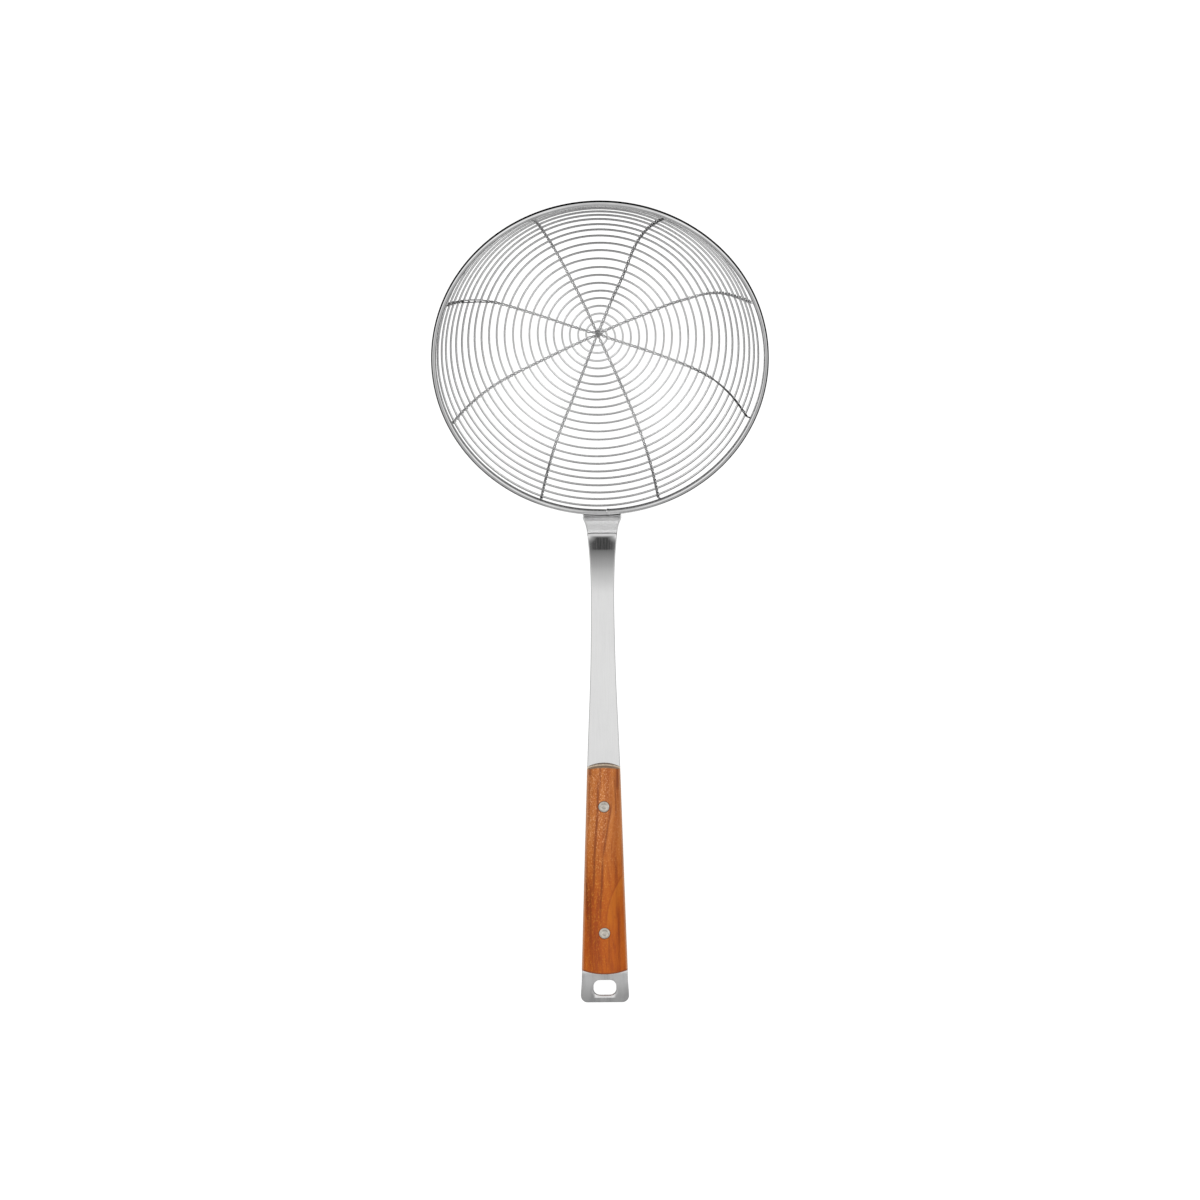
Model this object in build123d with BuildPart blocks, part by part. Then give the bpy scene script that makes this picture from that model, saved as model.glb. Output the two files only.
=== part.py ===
from build123d import *
from build123d.topology import SkipClean
from math import sin, cos, tan, atan, radians, pi, hypot
import os

# ---------------------------------------------------------------------------
# Spider skimmer: a dished spiral-wire basket in a folded rim band, carried by
# a bent flat-bar handle with two riveted wooden scales.
# Units mm. +Z up, the skimmer lies on a table as it would be put down:
# basket towards +Y, grip towards -Y, symmetric about X = 0.
# Origin: bottom centre of the bounding box.
# ---------------------------------------------------------------------------

# -- posture ----------------------------------------------------------------
RIM_TILT = 21.0          # the rim plane climbs this many degrees away from the grip
GRIP_SLOPE = 7.6         # the grip falls this many degrees towards its tail
Y_SHIFT = 0.356          # centres the bounding box on Y = 0

# -- rim --------------------------------------------------------------------
RIM_OUTER_R = 80.4       # rim is 161 mm across, outside
RIM_WIDTH = 2.5          # lip seen from above
RIM_SHEET = 0.5          # band thickness
RIM_TOP_CENTRE_Z = 33.5  # centre of the rounded lip above the basket floor
RIM_SKIRT = 1.6          # straight skirt below that centre
HOOP_DIA = 1.2           # core wire that the band is folded over
STRAND_END = 0.55        # the strands end this far below the lip centre, under the hoop

# -- spiral wire ------------------------------------------------------------
WIRE_DIA = 1.0
PITCH = 3.856            # spacing of the turns along the dished surface
PITCH_GROWTH = 0.00505   # the spacing opens slightly towards the rim
PITCH_START = 0.243
FIRST_HALF_TURN = 2      # counted in half turns from the middle
LAST_HALF_TURN = 45

# -- dished profile: flat floor, then arcs that turn up to the rim ------------
FLOOR_R = 37.0
PROFILE_ARCS = [(29.6, 43.0), (14.3, 58.0), (11.2, 64.0)]   # arc length, end angle

# -- spokes: four twisted pairs that cross in the middle ---------------------
STRAND_DIA = 0.6
STRAND_GAP = 0.02
SPOKE_ANGLES = [(24.0, 205.5), (68.0, 249.5), (115.5, 292.0), (160.0, 338.5)]
CROSS_STEP = 0.63        # each pair crosses one strand thickness above the last
SPOKE_FREE_S = 90.1      # past the last turn the strands close up into the band

# -- handle bar ---------------------------------------------------------------
BAR_T = 2.2
TAB_IN_R = 80.0          # flat inner face of the tab, hollowed to the rim radius
TAB_BOTTOM_Z = 29.6      # in basket height
TAB_TOP_Z = 40.0
REST_Y = 115.4           # rim centre, before the box is centred
TAIL_Y = -191.6
CREST_Y = 30.8           # sharp bend at the top of the neck
KNEE_Y = 14.3            # long gentle bend behind the crest
KNEE_R = 165.0
CREST_R = 2.2
CREASE_R = 3.0
TAIL_CORNER_R = 3.2

# half widths of the bar, seen from above: (distance from the tail, half width)
TAPER_0 = 11.35
TAPER = 0.0314
NECK_WIDTHS = [(115.0, 7.72), (128.5, 7.20), (141.8, 6.62), (155.1, 6.12),
               (168.4, 5.78), (181.7, 5.55), (193.6, 5.45), (205.5, 5.72),
               (214.6, 6.25), (219.8, 6.70), (224.6, 7.15), (229.9, 8.35)]
TAB_HALF_WIDTH = 9.2

# -- grip scales --------------------------------------------------------------
SCALE_V0 = 14.6          # lower end, measured from the tail along the bar
SCALE_V1 = 114.7
SCALE_END_SAG = 1.25     # both ends are cut to a shallow arc
SCALE_H = 8.0            # crown height
SCALE_EDGE = 3.0         # height of the straight sides
SCALE_FILLET = 0.9

# -- rivets (two halves each, the pin presses into the tube) -------------------
RIVET_V = [34.5, 95.5]
RIVET_HEAD_D = 5.3
RIVET_HEAD_T = 1.3
RIVET_PROUD = 0.15
RIVET_TUBE_D = 3.6
RIVET_PIN_D = 2.6

# -- hanging slot ---------------------------------------------------------------
SLOT_W = 10.9
SLOT_L = 8.4
SLOT_R = 3.0
SLOT_V = 6.6             # slot centre, measured from the tail

os.makedirs("parts", exist_ok=True)

# ---------------------------------------------------------------------------
# Basket frame: origin at the middle of the floor, on the wire's centre surface
# ---------------------------------------------------------------------------
ct, st = cos(radians(RIM_TILT)), sin(radians(RIM_TILT))
cg, sg = cos(radians(GRIP_SLOPE)), sin(radians(GRIP_SLOPE))


def profile(s):
    """radius, height and slope (radians) at arc length s from the middle"""
    if s <= FLOOR_R:
        return s, 0.0, 0.0
    r, z, b, done = FLOOR_R, 0.0, 0.0, FLOOR_R
    for i, (length, end) in enumerate(PROFILE_ARCS):
        e = radians(end)
        rad = length / (e - b)
        last = i == len(PROFILE_ARCS) - 1
        if s <= done + length or last:
            t = b + (s - done) / rad
            return r + rad * (sin(t) - sin(b)), z + rad * (cos(b) - cos(t)), t
        r, z = r + rad * (sin(e) - sin(b)), z + rad * (cos(b) - cos(e))
        b, done = e, done + length


def turn_s(n):
    """arc length from the middle after n turns"""
    return PITCH * n + PITCH_GROWTH * n * n + PITCH_START


# lowest ring point rests on the table
low = min(-profile(0.1 * i)[0] * st + profile(0.1 * i)[1] * ct for i in range(300, 900))
BASKET_Z = -low + WIRE_DIA / 2 - 0.028
BASKET_Y = REST_Y + RIM_TOP_CENTRE_Z * st + Y_SHIFT
O = Vector(0, BASKET_Y, BASKET_Z)
N = Vector(0, -st, ct)


def world(x, y, z):
    return O + Vector(x, y * ct, y * st) + N * z


basket = Plane(origin=O, x_dir=(1, 0, 0), z_dir=N)
meridian = Plane(origin=O, x_dir=(1, 0, 0), z_dir=(0, -ct, -st))
basket_axis = Axis(O, N)

# ---------------------------------------------------------------------------
# Rim: inverted U band, rolled over a hoop wire
# ---------------------------------------------------------------------------
rim_c = RIM_OUTER_R - RIM_WIDTH / 2
ro, ri = RIM_WIDTH / 2, RIM_WIDTH / 2 - RIM_SHEET
zt, zb = RIM_TOP_CENTRE_Z, RIM_TOP_CENTRE_Z - RIM_SKIRT

with BuildPart() as rim_band:
    with BuildSketch(meridian) as rim_section:
        with BuildLine():
            Line((rim_c - ro, zb), (rim_c - ro, zt))
            ThreePointArc((rim_c - ro, zt), (rim_c, zt + ro), (rim_c + ro, zt))
            Line((rim_c + ro, zt), (rim_c + ro, zb))
            Line((rim_c + ro, zb), (rim_c + ri, zb))
            Line((rim_c + ri, zb), (rim_c + ri, zt))
            ThreePointArc((rim_c + ri, zt), (rim_c, zt + ri), (rim_c - ri, zt))
            Line((rim_c - ri, zt), (rim_c - ri, zb))
            Line((rim_c - ri, zb), (rim_c - ro, zb))
        make_face()
    revolve(axis=basket_axis)
rim_band.part.label = "rim_band"
export_step(rim_band.part, "parts/rim_band.step")

hoop_z = zt + ri - HOOP_DIA / 2 - 0.02
with BuildPart() as rim_hoop_wire:
    with BuildSketch(meridian):
        with Locations((rim_c, hoop_z)):
            Circle(HOOP_DIA / 2)
    revolve(axis=basket_axis)
rim_hoop_wire.part.label = "rim_hoop_wire"
export_step(rim_hoop_wire.part, "parts/rim_hoop_wire.step")

# ---------------------------------------------------------------------------
# Spiral wire: half turns that start and end on the basket's X axis, where
# they all run along Y, so that each joins the next smoothly
# ---------------------------------------------------------------------------


def spiral_point(half):
    r, z, _ = profile(turn_s(half / 2.0))
    side = 1 if half % 2 == 0 else -1
    return side * r, z


with BuildPart() as spiral_wire:
    with BuildLine() as spiral_path:
        for h in range(FIRST_HALF_TURN, LAST_HALF_TURN):
            x0, z0 = spiral_point(h)
            x1, z1 = spiral_point(h + 1)
            reach = hypot(x1 - x0, z1 - z0) / 2
            y_side = -1 if h % 2 == 0 else 1
            ThreePointArc(world(x0, 0, z0),
                          world((x0 + x1) / 2, y_side * reach, (z0 + z1) / 2),
                          world(x1, 0, z1))
    with BuildSketch(Plane(origin=spiral_path.wire() @ 0, z_dir=spiral_path.wire() % 0)):
        Circle(WIRE_DIA / 2)
    sweep()
spiral_wire.part.label = "spiral_wire"
export_step(spiral_wire.part, "parts/spiral_wire.step")
spiral_length = spiral_path.wire().length
print("spiral wire length %.1f, volume %.1f, expected %.1f" % (
    spiral_length, spiral_wire.part.volume, spiral_length * pi * WIRE_DIA ** 2 / 4))

# ---------------------------------------------------------------------------
# Spokes: each pair has one strand above the turns and one below. All pairs
# cross in the middle, stacked, and end inside the rim band.
# ---------------------------------------------------------------------------
OFF = WIRE_DIA / 2 + STRAND_DIA / 2 + STRAND_GAP
HUMP_OUT, HUMP_IN = 3.5, 0.95


def on_spoke(angle, r, z):
    a = radians(angle)
    return world(r * cos(a), r * sin(a), z)


def offset_point(s, side):
    r, z, b = profile(s)
    return r - side * OFF * sin(b), z + side * OFF * cos(b)


def half_spoke(angle, side, level):
    """one leg of a strand, from the middle out: list of curve arguments"""
    base = side * OFF
    top = side * (OFF + level * CROSS_STEP)
    P = lambda rz: on_spoke(angle, rz[0], rz[1])
    if level:
        dz = top - base
        mid = ((HUMP_IN + HUMP_OUT) / 2, (top + base) / 2)
        half = (HUMP_OUT - HUMP_IN) / 2
        # two equal arcs make the S-shaped step
        q = abs(dz) / 2
        rad = (half * half + q * q) / (2 * q)
        ang = 2 * atan(q / half)
        sgn = 1 if dz > 0 else -1
        m1 = (HUMP_IN + rad * sin(ang / 2), top - sgn * rad * (1 - cos(ang / 2)))
        m2 = (HUMP_OUT - rad * sin(ang / 2), base + sgn * rad * (1 - cos(ang / 2)))
        ThreePointArc(P((HUMP_IN, top)), P(m1), P(mid))
        ThreePointArc(P(mid), P(m2), P((HUMP_OUT, base)))
    else:
        Line(P((HUMP_IN, base)), P((HUMP_OUT, base)))
    Line(P((HUMP_OUT, base)), P((FLOOR_R, base)))
    s0 = FLOOR_R
    for i, (length, _) in enumerate(PROFILE_ARCS):
        s1 = s0 + length if i < len(PROFILE_ARCS) - 1 else SPOKE_FREE_S
        ThreePointArc(P(offset_point(s0, side)), P(offset_point((s0 + s1) / 2, side)),
                      P(offset_point(s1, side)))
        s0 = s1
    # into the band
    r, z, b = profile(SPOKE_FREE_S)
    e = offset_point(SPOKE_FREE_S, side)
    if side > 0:
        pts = [e, (rim_c - 0.36, e[1] + 1.25), (rim_c - 0.36, zt - STRAND_END)]
    else:
        pts = [e, (rim_c + 0.36, e[1] + 1.10), (rim_c + 0.36, zt - STRAND_END)]
    # keep the first bend smooth: start on the tangent
    lead = 0.25
    first = (e[0] + lead * cos(b), e[1] + lead * sin(b))
    FilletPolyline(P(e), P(first), P(pts[1]), P(pts[2]), radius=0.35)


spoke_names = ["a", "b", "c", "d"]
for k, (a1, a2) in enumerate(SPOKE_ANGLES):
    for side, word in ((1, "upper"), (-1, "lower")):
        name = "spoke_%s_%s_strand" % (spoke_names[k], word)
        top = side * (OFF + k * CROSS_STEP)
        with BuildPart() as strand:
            with BuildLine() as route:
                p1, p2 = on_spoke(a1, HUMP_IN, top), on_spoke(a2, HUMP_IN, top)
                d1 = (on_spoke(a1, 0, top) - p1).normalized()
                half_spoke(a1, side, k)
                TangentArc(p1, p2, tangent=d1)
                half_spoke(a2, side, k)
            whole = route.wire()
            with BuildSketch(Plane(origin=whole @ 0, z_dir=whole % 0)):
                Circle(STRAND_DIA / 2)
            sweep()
        strand.part.label = name
        export_step(strand.part, "parts/%s.step" % name)
        print(name, "volume %.2f expected %.2f" % (
            strand.part.volume, route.wire().length * pi * STRAND_DIA ** 2 / 4))

# ---------------------------------------------------------------------------
# Handle bar: tab behind the rim, neck, crest, long slope to the tail
# ---------------------------------------------------------------------------
tail_z = (SCALE_H + BAR_T / 2) * cg - SCALE_V0 * sg - 0.111
tail = Vector(0, TAIL_Y + Y_SHIFT, tail_z)          # bar centre line at the tail
knee = Vector(0, KNEE_Y + Y_SHIFT, tail_z + (KNEE_Y - TAIL_Y) * tan(radians(GRIP_SLOPE)))
crest = Vector(0, CREST_Y + Y_SHIFT, knee.Z)
tab_top = world(0, -(TAB_IN_R + BAR_T / 2), TAB_TOP_Z)
tab_low = world(0, -(TAB_IN_R + BAR_T / 2), TAB_BOTTOM_Z)

grip_top = Plane(origin=tail + Vector(0, -sg, cg) * (BAR_T / 2),
                 x_dir=(1, 0, 0), z_dir=(0, -sg, cg))
grip_mid = Plane(origin=tail, x_dir=(1, 0, 0), z_dir=(0, -sg, cg))
grip_back = Plane(origin=tail - Vector(0, -sg, cg) * (BAR_T / 2),
                  x_dir=(1, 0, 0), z_dir=(0, -sg, cg))


def half_width(v):
    return TAPER_0 - TAPER * v


with BuildPart() as handle_bar:
    with BuildLine() as bar_path:
        FilletPolyline(tab_low, tab_top, crest, knee, tail,
                       radius=[CREASE_R, CREST_R, KNEE_R])
    with BuildSketch(Plane(origin=bar_path.wire() @ 0, x_dir=(1, 0, 0),
                           z_dir=bar_path.wire() % 0)):
        Rectangle(30, BAR_T)
    sweep()
    # outline seen from above
    with BuildSketch(Plane.XY.offset(-5)) as outline:
        with BuildLine():
            y0 = TAIL_Y + Y_SHIFT - BAR_T
            pts = [(half_width(12.0), y0 + BAR_T + 12.0 * cg),
                   (half_width(60.0), y0 + BAR_T + 60.0 * cg),
                   (half_width(105.0), y0 + BAR_T + 105.0 * cg)]
            pts += [(w, y0 + BAR_T + v) for v, w in NECK_WIDTHS]
            yt = REST_Y - RIM_OUTER_R * ct + Y_SHIFT
            right = [Vector(x, y) for x, y in pts]
            left = [Vector(-x, y) for x, y in pts]
            Polyline((0, y0), (TAPER_0 + 0.1, y0), (TAPER_0 + 0.1, y0 + BAR_T + 6.0),
                     right[0])
            Spline(*right, (TAB_HALF_WIDTH, yt))
            Polyline((TAB_HALF_WIDTH, yt), (TAB_HALF_WIDTH, yt + 20),
                     (-TAB_HALF_WIDTH, yt + 20), (-TAB_HALF_WIDTH, yt))
            Spline(*left, (-TAB_HALF_WIDTH, yt))
            Polyline((0, y0), (-TAPER_0 - 0.1, y0), (-TAPER_0 - 0.1, y0 + BAR_T + 6.0),
                     left[0])
        make_face()
    extrude(amount=80, mode=Mode.INTERSECT)
    # rounded tail corners
    tail_edges = handle_bar.edges().filter_by(Axis(tail, Vector(0, -sg, cg)), tolerance=1.0)
    tail_edges = tail_edges.filter_by(lambda e: e.center().Y < TAIL_Y + Y_SHIFT + 1.5
                                      and abs(e.center().X) > 8)
    fillet(tail_edges, TAIL_CORNER_R)
    # hanging slot
    with BuildSketch(grip_mid.offset(-BAR_T)):
        with Locations((0, SLOT_V)):
            RectangleRounded(SLOT_W, SLOT_L, SLOT_R)
    extrude(amount=2 * BAR_T, mode=Mode.SUBTRACT)
    # rivet holes
    with BuildSketch(grip_mid.offset(-BAR_T)):
        with Locations(*[(0, v) for v in RIVET_V]):
            Circle(RIVET_TUBE_D / 2)
    extrude(amount=2 * BAR_T, mode=Mode.SUBTRACT)
    # the tab is hollowed to sit against the rim
    with BuildSketch(basket.offset(TAB_BOTTOM_Z - 3)):
        Circle(RIM_OUTER_R)
    extrude(amount=zt + ro + 0.3 - (TAB_BOTTOM_Z - 3), mode=Mode.SUBTRACT)

# the bar's faces are divided where the scales begin, so that the bare flat of
# the tail is a face of its own
with BuildPart() as bare_tail:
    add(handle_bar.part)
    with BuildSketch(grip_mid.offset(-BAR_T)):
        with Locations((0, (SCALE_V0 - 0.1) / 2 - 5)):
            Rectangle(4 * TAPER_0, SCALE_V0 - 0.1 + 10)
    extrude(amount=2 * BAR_T, mode=Mode.INTERSECT)
with BuildPart() as bar_above_tail:
    add(handle_bar.part)
    with BuildSketch(grip_mid.offset(-BAR_T)):
        with Locations((0, (SCALE_V0 - 0.1) / 2 - 5)):
            Rectangle(4 * TAPER_0, SCALE_V0 - 0.1 + 10)
    extrude(amount=2 * BAR_T, mode=Mode.SUBTRACT)
with SkipClean():
    with BuildPart() as whole_bar:
        add(bar_above_tail.part)
        add(bare_tail.part, clean=False)
print("bar volume %.2f, lower and upper %.2f + %.2f, whole %.2f, solids %d, faces %d" % (
    handle_bar.part.volume, bare_tail.part.volume, bar_above_tail.part.volume,
    whole_bar.part.volume, len(whole_bar.solids()), len(whole_bar.faces())))
whole_bar.part.label = "handle_bar"
export_step(whole_bar.part, "parts/handle_bar.step")

# ---------------------------------------------------------------------------
# Grip scales: crowned wood, one on each face of the bar
# ---------------------------------------------------------------------------


def scale_outline(v0, v1):
    w0, w1 = half_width(v0 + SCALE_END_SAG), half_width(v1 - SCALE_END_SAG)
    lo, hi = v0 + SCALE_END_SAG, v1 - SCALE_END_SAG
    ThreePointArc((-w0, lo), (0, v0), (w0, lo))
    Line((w0, lo), (w1, hi))
    ThreePointArc((w1, hi), (0, v1), (-w1, hi))
    Line((-w1, hi), (-w0, lo))


def build_scale(plane, up, name):
    """plane lies on the bar's face, up is +1 for the front and -1 for the back"""
    with BuildPart() as scale:
        for v in (SCALE_V0 - 6.0, SCALE_V1 + 6.0):
            w = half_width(v)
            section = Plane(origin=plane.from_local_coords(Vector(0, v, 0)),
                            x_dir=(1, 0, 0), z_dir=-plane.y_dir)
            with BuildSketch(section):
                with BuildLine():
                    Polyline((-w, up * SCALE_EDGE), (-w, 0), (w, 0), (w, up * SCALE_EDGE))
                    ThreePointArc((-w, up * SCALE_EDGE), (0, up * SCALE_H),
                                  (w, up * SCALE_EDGE))
                make_face()
        loft(ruled=True)
        with BuildSketch(plane.offset(-up * 2.0)):
            with BuildLine():
                scale_outline(SCALE_V0, SCALE_V1)
            make_face()
        extrude(amount=up * (SCALE_H + 6.0), mode=Mode.INTERSECT)
        # rounded outer edges
        far = scale.edges().filter_by(
            lambda e: up * plane.to_local_coords(e.center()).Z > SCALE_EDGE - 0.4)
        fillet(far, SCALE_FILLET)
        # rivet holes with seats for the heads
        with BuildSketch(plane.offset(-up * 1.0)):
            with Locations(*[(0, v) for v in RIVET_V]):
                Circle(RIVET_TUBE_D / 2)
        extrude(amount=up * (SCALE_H + 4.0), mode=Mode.SUBTRACT)
        with BuildSketch(plane.offset(up * (SCALE_H + RIVET_PROUD - RIVET_HEAD_T))):
            with Locations(*[(0, v) for v in RIVET_V]):
                Circle(RIVET_HEAD_D / 2)
        extrude(amount=up * 4.0, mode=Mode.SUBTRACT)
    scale.part.label = name
    export_step(scale.part, "parts/%s.step" % name)
    return scale


front_scale = build_scale(grip_top, 1, "front_scale")
back_scale = build_scale(grip_back, -1, "back_scale")

# ---------------------------------------------------------------------------
# Rivets: the tube half enters from the front, the pin half from the back
# ---------------------------------------------------------------------------
for v, word in zip(RIVET_V, ("lower", "upper")):
    axis_at = grip_mid.from_local_coords(Vector(0, v, 0))
    up_dir = Vector(0, -sg, cg)
    reach = BAR_T / 2 + SCALE_H + RIVET_PROUD
    tube_plane = Plane(origin=axis_at + up_dir * reach, x_dir=(1, 0, 0), z_dir=up_dir)
    with BuildPart() as tube_half:
        with BuildSketch(tube_plane):
            Circle(RIVET_HEAD_D / 2)
        extrude(amount=-RIVET_HEAD_T)
        with BuildSketch(tube_plane.offset(-RIVET_HEAD_T)):
            Circle(RIVET_TUBE_D / 2)
        extrude(amount=-(reach - RIVET_HEAD_T + BAR_T / 2 + 4.0))
        with BuildSketch(tube_plane.offset(-(reach + BAR_T / 2 + 4.0))):
            Circle(RIVET_PIN_D / 2)
        extrude(amount=reach + BAR_T / 2 + 4.0 - RIVET_HEAD_T - 0.6, mode=Mode.SUBTRACT)
        chamfer(tube_half.edges().filter_by(GeomType.CIRCLE).sort_by(
            Axis(axis_at, up_dir))[-1], 0.12)
    tube_half.part.label = "%s_rivet_tube" % word
    export_step(tube_half.part, "parts/%s_rivet_tube.step" % word)

    pin_plane = Plane(origin=axis_at - up_dir * reach, x_dir=(1, 0, 0), z_dir=up_dir)
    with BuildPart() as pin_half:
        with BuildSketch(pin_plane):
            Circle(RIVET_HEAD_D / 2)
        extrude(amount=RIVET_HEAD_T)
        with BuildSketch(pin_plane.offset(RIVET_HEAD_T)):
            Circle(RIVET_TUBE_D / 2)
        extrude(amount=reach - BAR_T / 2 - 4.0 - RIVET_HEAD_T)
        with BuildSketch(pin_plane.offset(reach - BAR_T / 2 - 4.0)):
            Circle(RIVET_PIN_D / 2)
        extrude(amount=BAR_T / 2 + 4.0 + reach - RIVET_HEAD_T - 0.9)
        chamfer(pin_half.edges().filter_by(GeomType.CIRCLE).sort_by(
            Axis(axis_at, up_dir))[0], 0.12)
    pin_half.part.label = "%s_rivet_pin" % word
    export_step(pin_half.part, "parts/%s_rivet_pin.step" % word)

print("basket Z %.2f, tail z %.2f, crest z %.2f" % (BASKET_Z, tail_z, crest.Z))
print("rim centre", world(0, 0, RIM_TOP_CENTRE_Z), "profile end", profile(91.9))
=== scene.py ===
from math import sin, cos, tan, atan, atan2, acos, radians, degrees, pi, hypot, sqrt, floor

import bpy
import bmesh
import numpy as np
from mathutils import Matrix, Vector


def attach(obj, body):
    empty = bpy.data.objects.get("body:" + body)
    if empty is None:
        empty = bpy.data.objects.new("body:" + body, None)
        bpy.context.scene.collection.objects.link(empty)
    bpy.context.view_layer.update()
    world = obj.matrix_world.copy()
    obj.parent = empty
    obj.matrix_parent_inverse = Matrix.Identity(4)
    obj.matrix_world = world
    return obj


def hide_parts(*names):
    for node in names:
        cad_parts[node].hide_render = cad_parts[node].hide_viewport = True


# ---------------------------------------------------------------------------
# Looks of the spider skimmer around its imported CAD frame. Lengths below are
# in millimetres until a mesh is made.
# ---------------------------------------------------------------------------
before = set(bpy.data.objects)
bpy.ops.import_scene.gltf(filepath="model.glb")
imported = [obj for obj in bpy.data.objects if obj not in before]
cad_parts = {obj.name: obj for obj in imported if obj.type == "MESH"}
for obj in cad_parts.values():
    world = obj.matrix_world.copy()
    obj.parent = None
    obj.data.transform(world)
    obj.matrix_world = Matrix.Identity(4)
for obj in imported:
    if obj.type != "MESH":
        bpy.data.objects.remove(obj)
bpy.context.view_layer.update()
MM = 0.001

# -- sizes shared with the CAD part -------------------------------------------
RIM_TILT, GRIP_SLOPE, Y_SHIFT = 21.0, 7.6, 0.356
RIM_OUTER_R, RIM_WIDTH, RIM_SHEET, RIM_TOP_Z, RIM_SKIRT = 80.4, 2.5, 0.5, 33.5, 1.6
HOOP_D = 1.2
WIRE_D, PITCH, GROWTH, START = 1.0, 3.856, 0.00505, 0.243
FLOOR_R = 37.0
ARCS = [(29.6, 43.0), (14.3, 58.0), (11.2, 64.0)]
STRAND_D, OFF = 0.6, 0.82
FREE_S = 90.1
BAR_T = 2.2
REST_Y, TAIL_Y, CREST_Y, KNEE_Y = 115.4, -191.6, 30.8, 14.3
TAB_IN_R, TAB_BOTTOM_Z, TAB_TOP_Z = 80.0, 29.6, 40.0
SCALE_V0, SCALE_V1, SCALE_SAG, SCALE_H, SCALE_EDGE, SCALE_R = 14.6, 114.7, 1.25, 8.0, 3.0, 0.9
RIVET_V, HEAD_R, HEAD_T, PROUD = (34.5, 95.5), 2.65, 1.3, 0.15
ct, st = cos(radians(RIM_TILT)), sin(radians(RIM_TILT))
cg, sg = cos(radians(GRIP_SLOPE)), sin(radians(GRIP_SLOPE))


def profile(s):
    if s <= FLOOR_R:
        return s, 0.0, 0.0
    r, z, b, done = FLOOR_R, 0.0, 0.0, FLOOR_R
    for i, (length, end) in enumerate(ARCS):
        e = radians(end)
        rad = length / (e - b)
        if s <= done + length or i == len(ARCS) - 1:
            t = b + (s - done) / rad
            return r + rad * (sin(t) - sin(b)), z + rad * (cos(b) - cos(t)), t
        r, z = r + rad * (sin(e) - sin(b)), z + rad * (cos(b) - cos(e))
        b, done = e, done + length


def turn_s(n):
    return PITCH * n + GROWTH * n * n + START


low = min(-profile(0.1 * i)[0] * st + profile(0.1 * i)[1] * ct for i in range(300, 900))
BASKET = np.array([0.0, REST_Y + RIM_TOP_Z * st + Y_SHIFT, -low + WIRE_D / 2 - 0.028])
EX, EY, EN = np.array([1.0, 0, 0]), np.array([0, ct, st]), np.array([0, -st, ct])
TAB_S = np.linspace(0, 93, 3721)
TAB_P = np.array([profile(s) for s in TAB_S])


def to_world(p):
    """basket coordinates (x, y, height) to the row frame, arrays of shape (n, 3)"""
    p = np.asarray(p, float)
    return BASKET + p[..., :1] * EX + p[..., 1:2] * EY + p[..., 2:3] * EN


def s_of_rho(rho):
    return np.interp(rho, TAB_P[:, 0], TAB_S)


def on_dish(x, y, h=0.0):
    """point above the dish's wire surface by h, measured square to it"""
    rho = np.hypot(x, y)
    s = s_of_rho(rho)
    z = np.interp(s, TAB_S, TAB_P[:, 1])
    b = np.interp(s, TAB_S, TAB_P[:, 2])
    ux, uy = x / np.maximum(rho, 1e-9), y / np.maximum(rho, 1e-9)
    return np.stack([x - h * np.sin(b) * ux, y - h * np.sin(b) * uy, z + h * np.cos(b)], -1)


def smooth(a, b, x):
    t = np.clip((np.asarray(x, float) - a) / (b - a), 0, 1)
    return t * t * (3 - 2 * t)


def out_of_true(p):
    """the hand-wound basket sits a little off centre in its rim, by up to 0.9 mm"""
    p = np.asarray(p, float)
    x, y, z = p[..., 0], p[..., 1], p[..., 2]
    rho = np.hypot(x, y)
    up = smooth(0, 1, y / np.maximum(rho, 1e-9))
    dx = -x * 0.006 * smooth(55, 66, rho) - 0.57 + 0.12 * smooth(60, 76, rho)
    dy = np.interp(rho, [0, 40, 52, 60, 68, 80], [-0.52, -0.5, -0.22, -0.18, 0.0, 0.0]) \
        + up * np.interp(rho, [0, 32, 38, 45, 52, 70, 80], [0, 0, 0.3, 0.7, 0.8, 0.6, 0.6])
    return np.stack([x + dx, y + dy, z], -1)


RIM_FLAT, RIM_BACK = 0.9895, -0.04


def rim_shape(p):
    """the rim isn't quite round either: shorter along the handle"""
    p = np.array(p, float)
    p[..., 1] = p[..., 1] * RIM_FLAT - RIM_BACK
    return p


def sway(y_):
    """the bar stands a little to the right of the rim's middle (world y, mm)"""
    return np.interp(y_, [-191, -150, -100, -75, 40], [0.08, 0.10, 0.22, 0.30, 0.43])


def spline(knots):
    """natural cubic through the knots"""
    x = np.array([k[0] for k in knots]); y = np.array([k[1] for k in knots])
    n = len(x); h = np.diff(x)
    A = np.eye(n); rhs = np.zeros(n)
    for i in range(1, n - 1):
        A[i, i - 1], A[i, i], A[i, i + 1] = h[i - 1], 2 * (h[i - 1] + h[i]), h[i]
        rhs[i] = 6 * ((y[i + 1] - y[i]) / h[i] - (y[i] - y[i - 1]) / h[i - 1])
    m2 = np.linalg.solve(A, rhs)

    def at_(q):
        i = min(max(int(np.searchsorted(x, q)) - 1, 0), n - 2)
        t = q - x[i]; u = x[i + 1] - q
        return (m2[i] * u**3 + m2[i + 1] * t**3) / (6 * h[i]) \
            + (y[i] / h[i] - m2[i] * h[i] / 6) * u + (y[i + 1] / h[i] - m2[i + 1] * h[i] / 6) * t
    return at_


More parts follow.
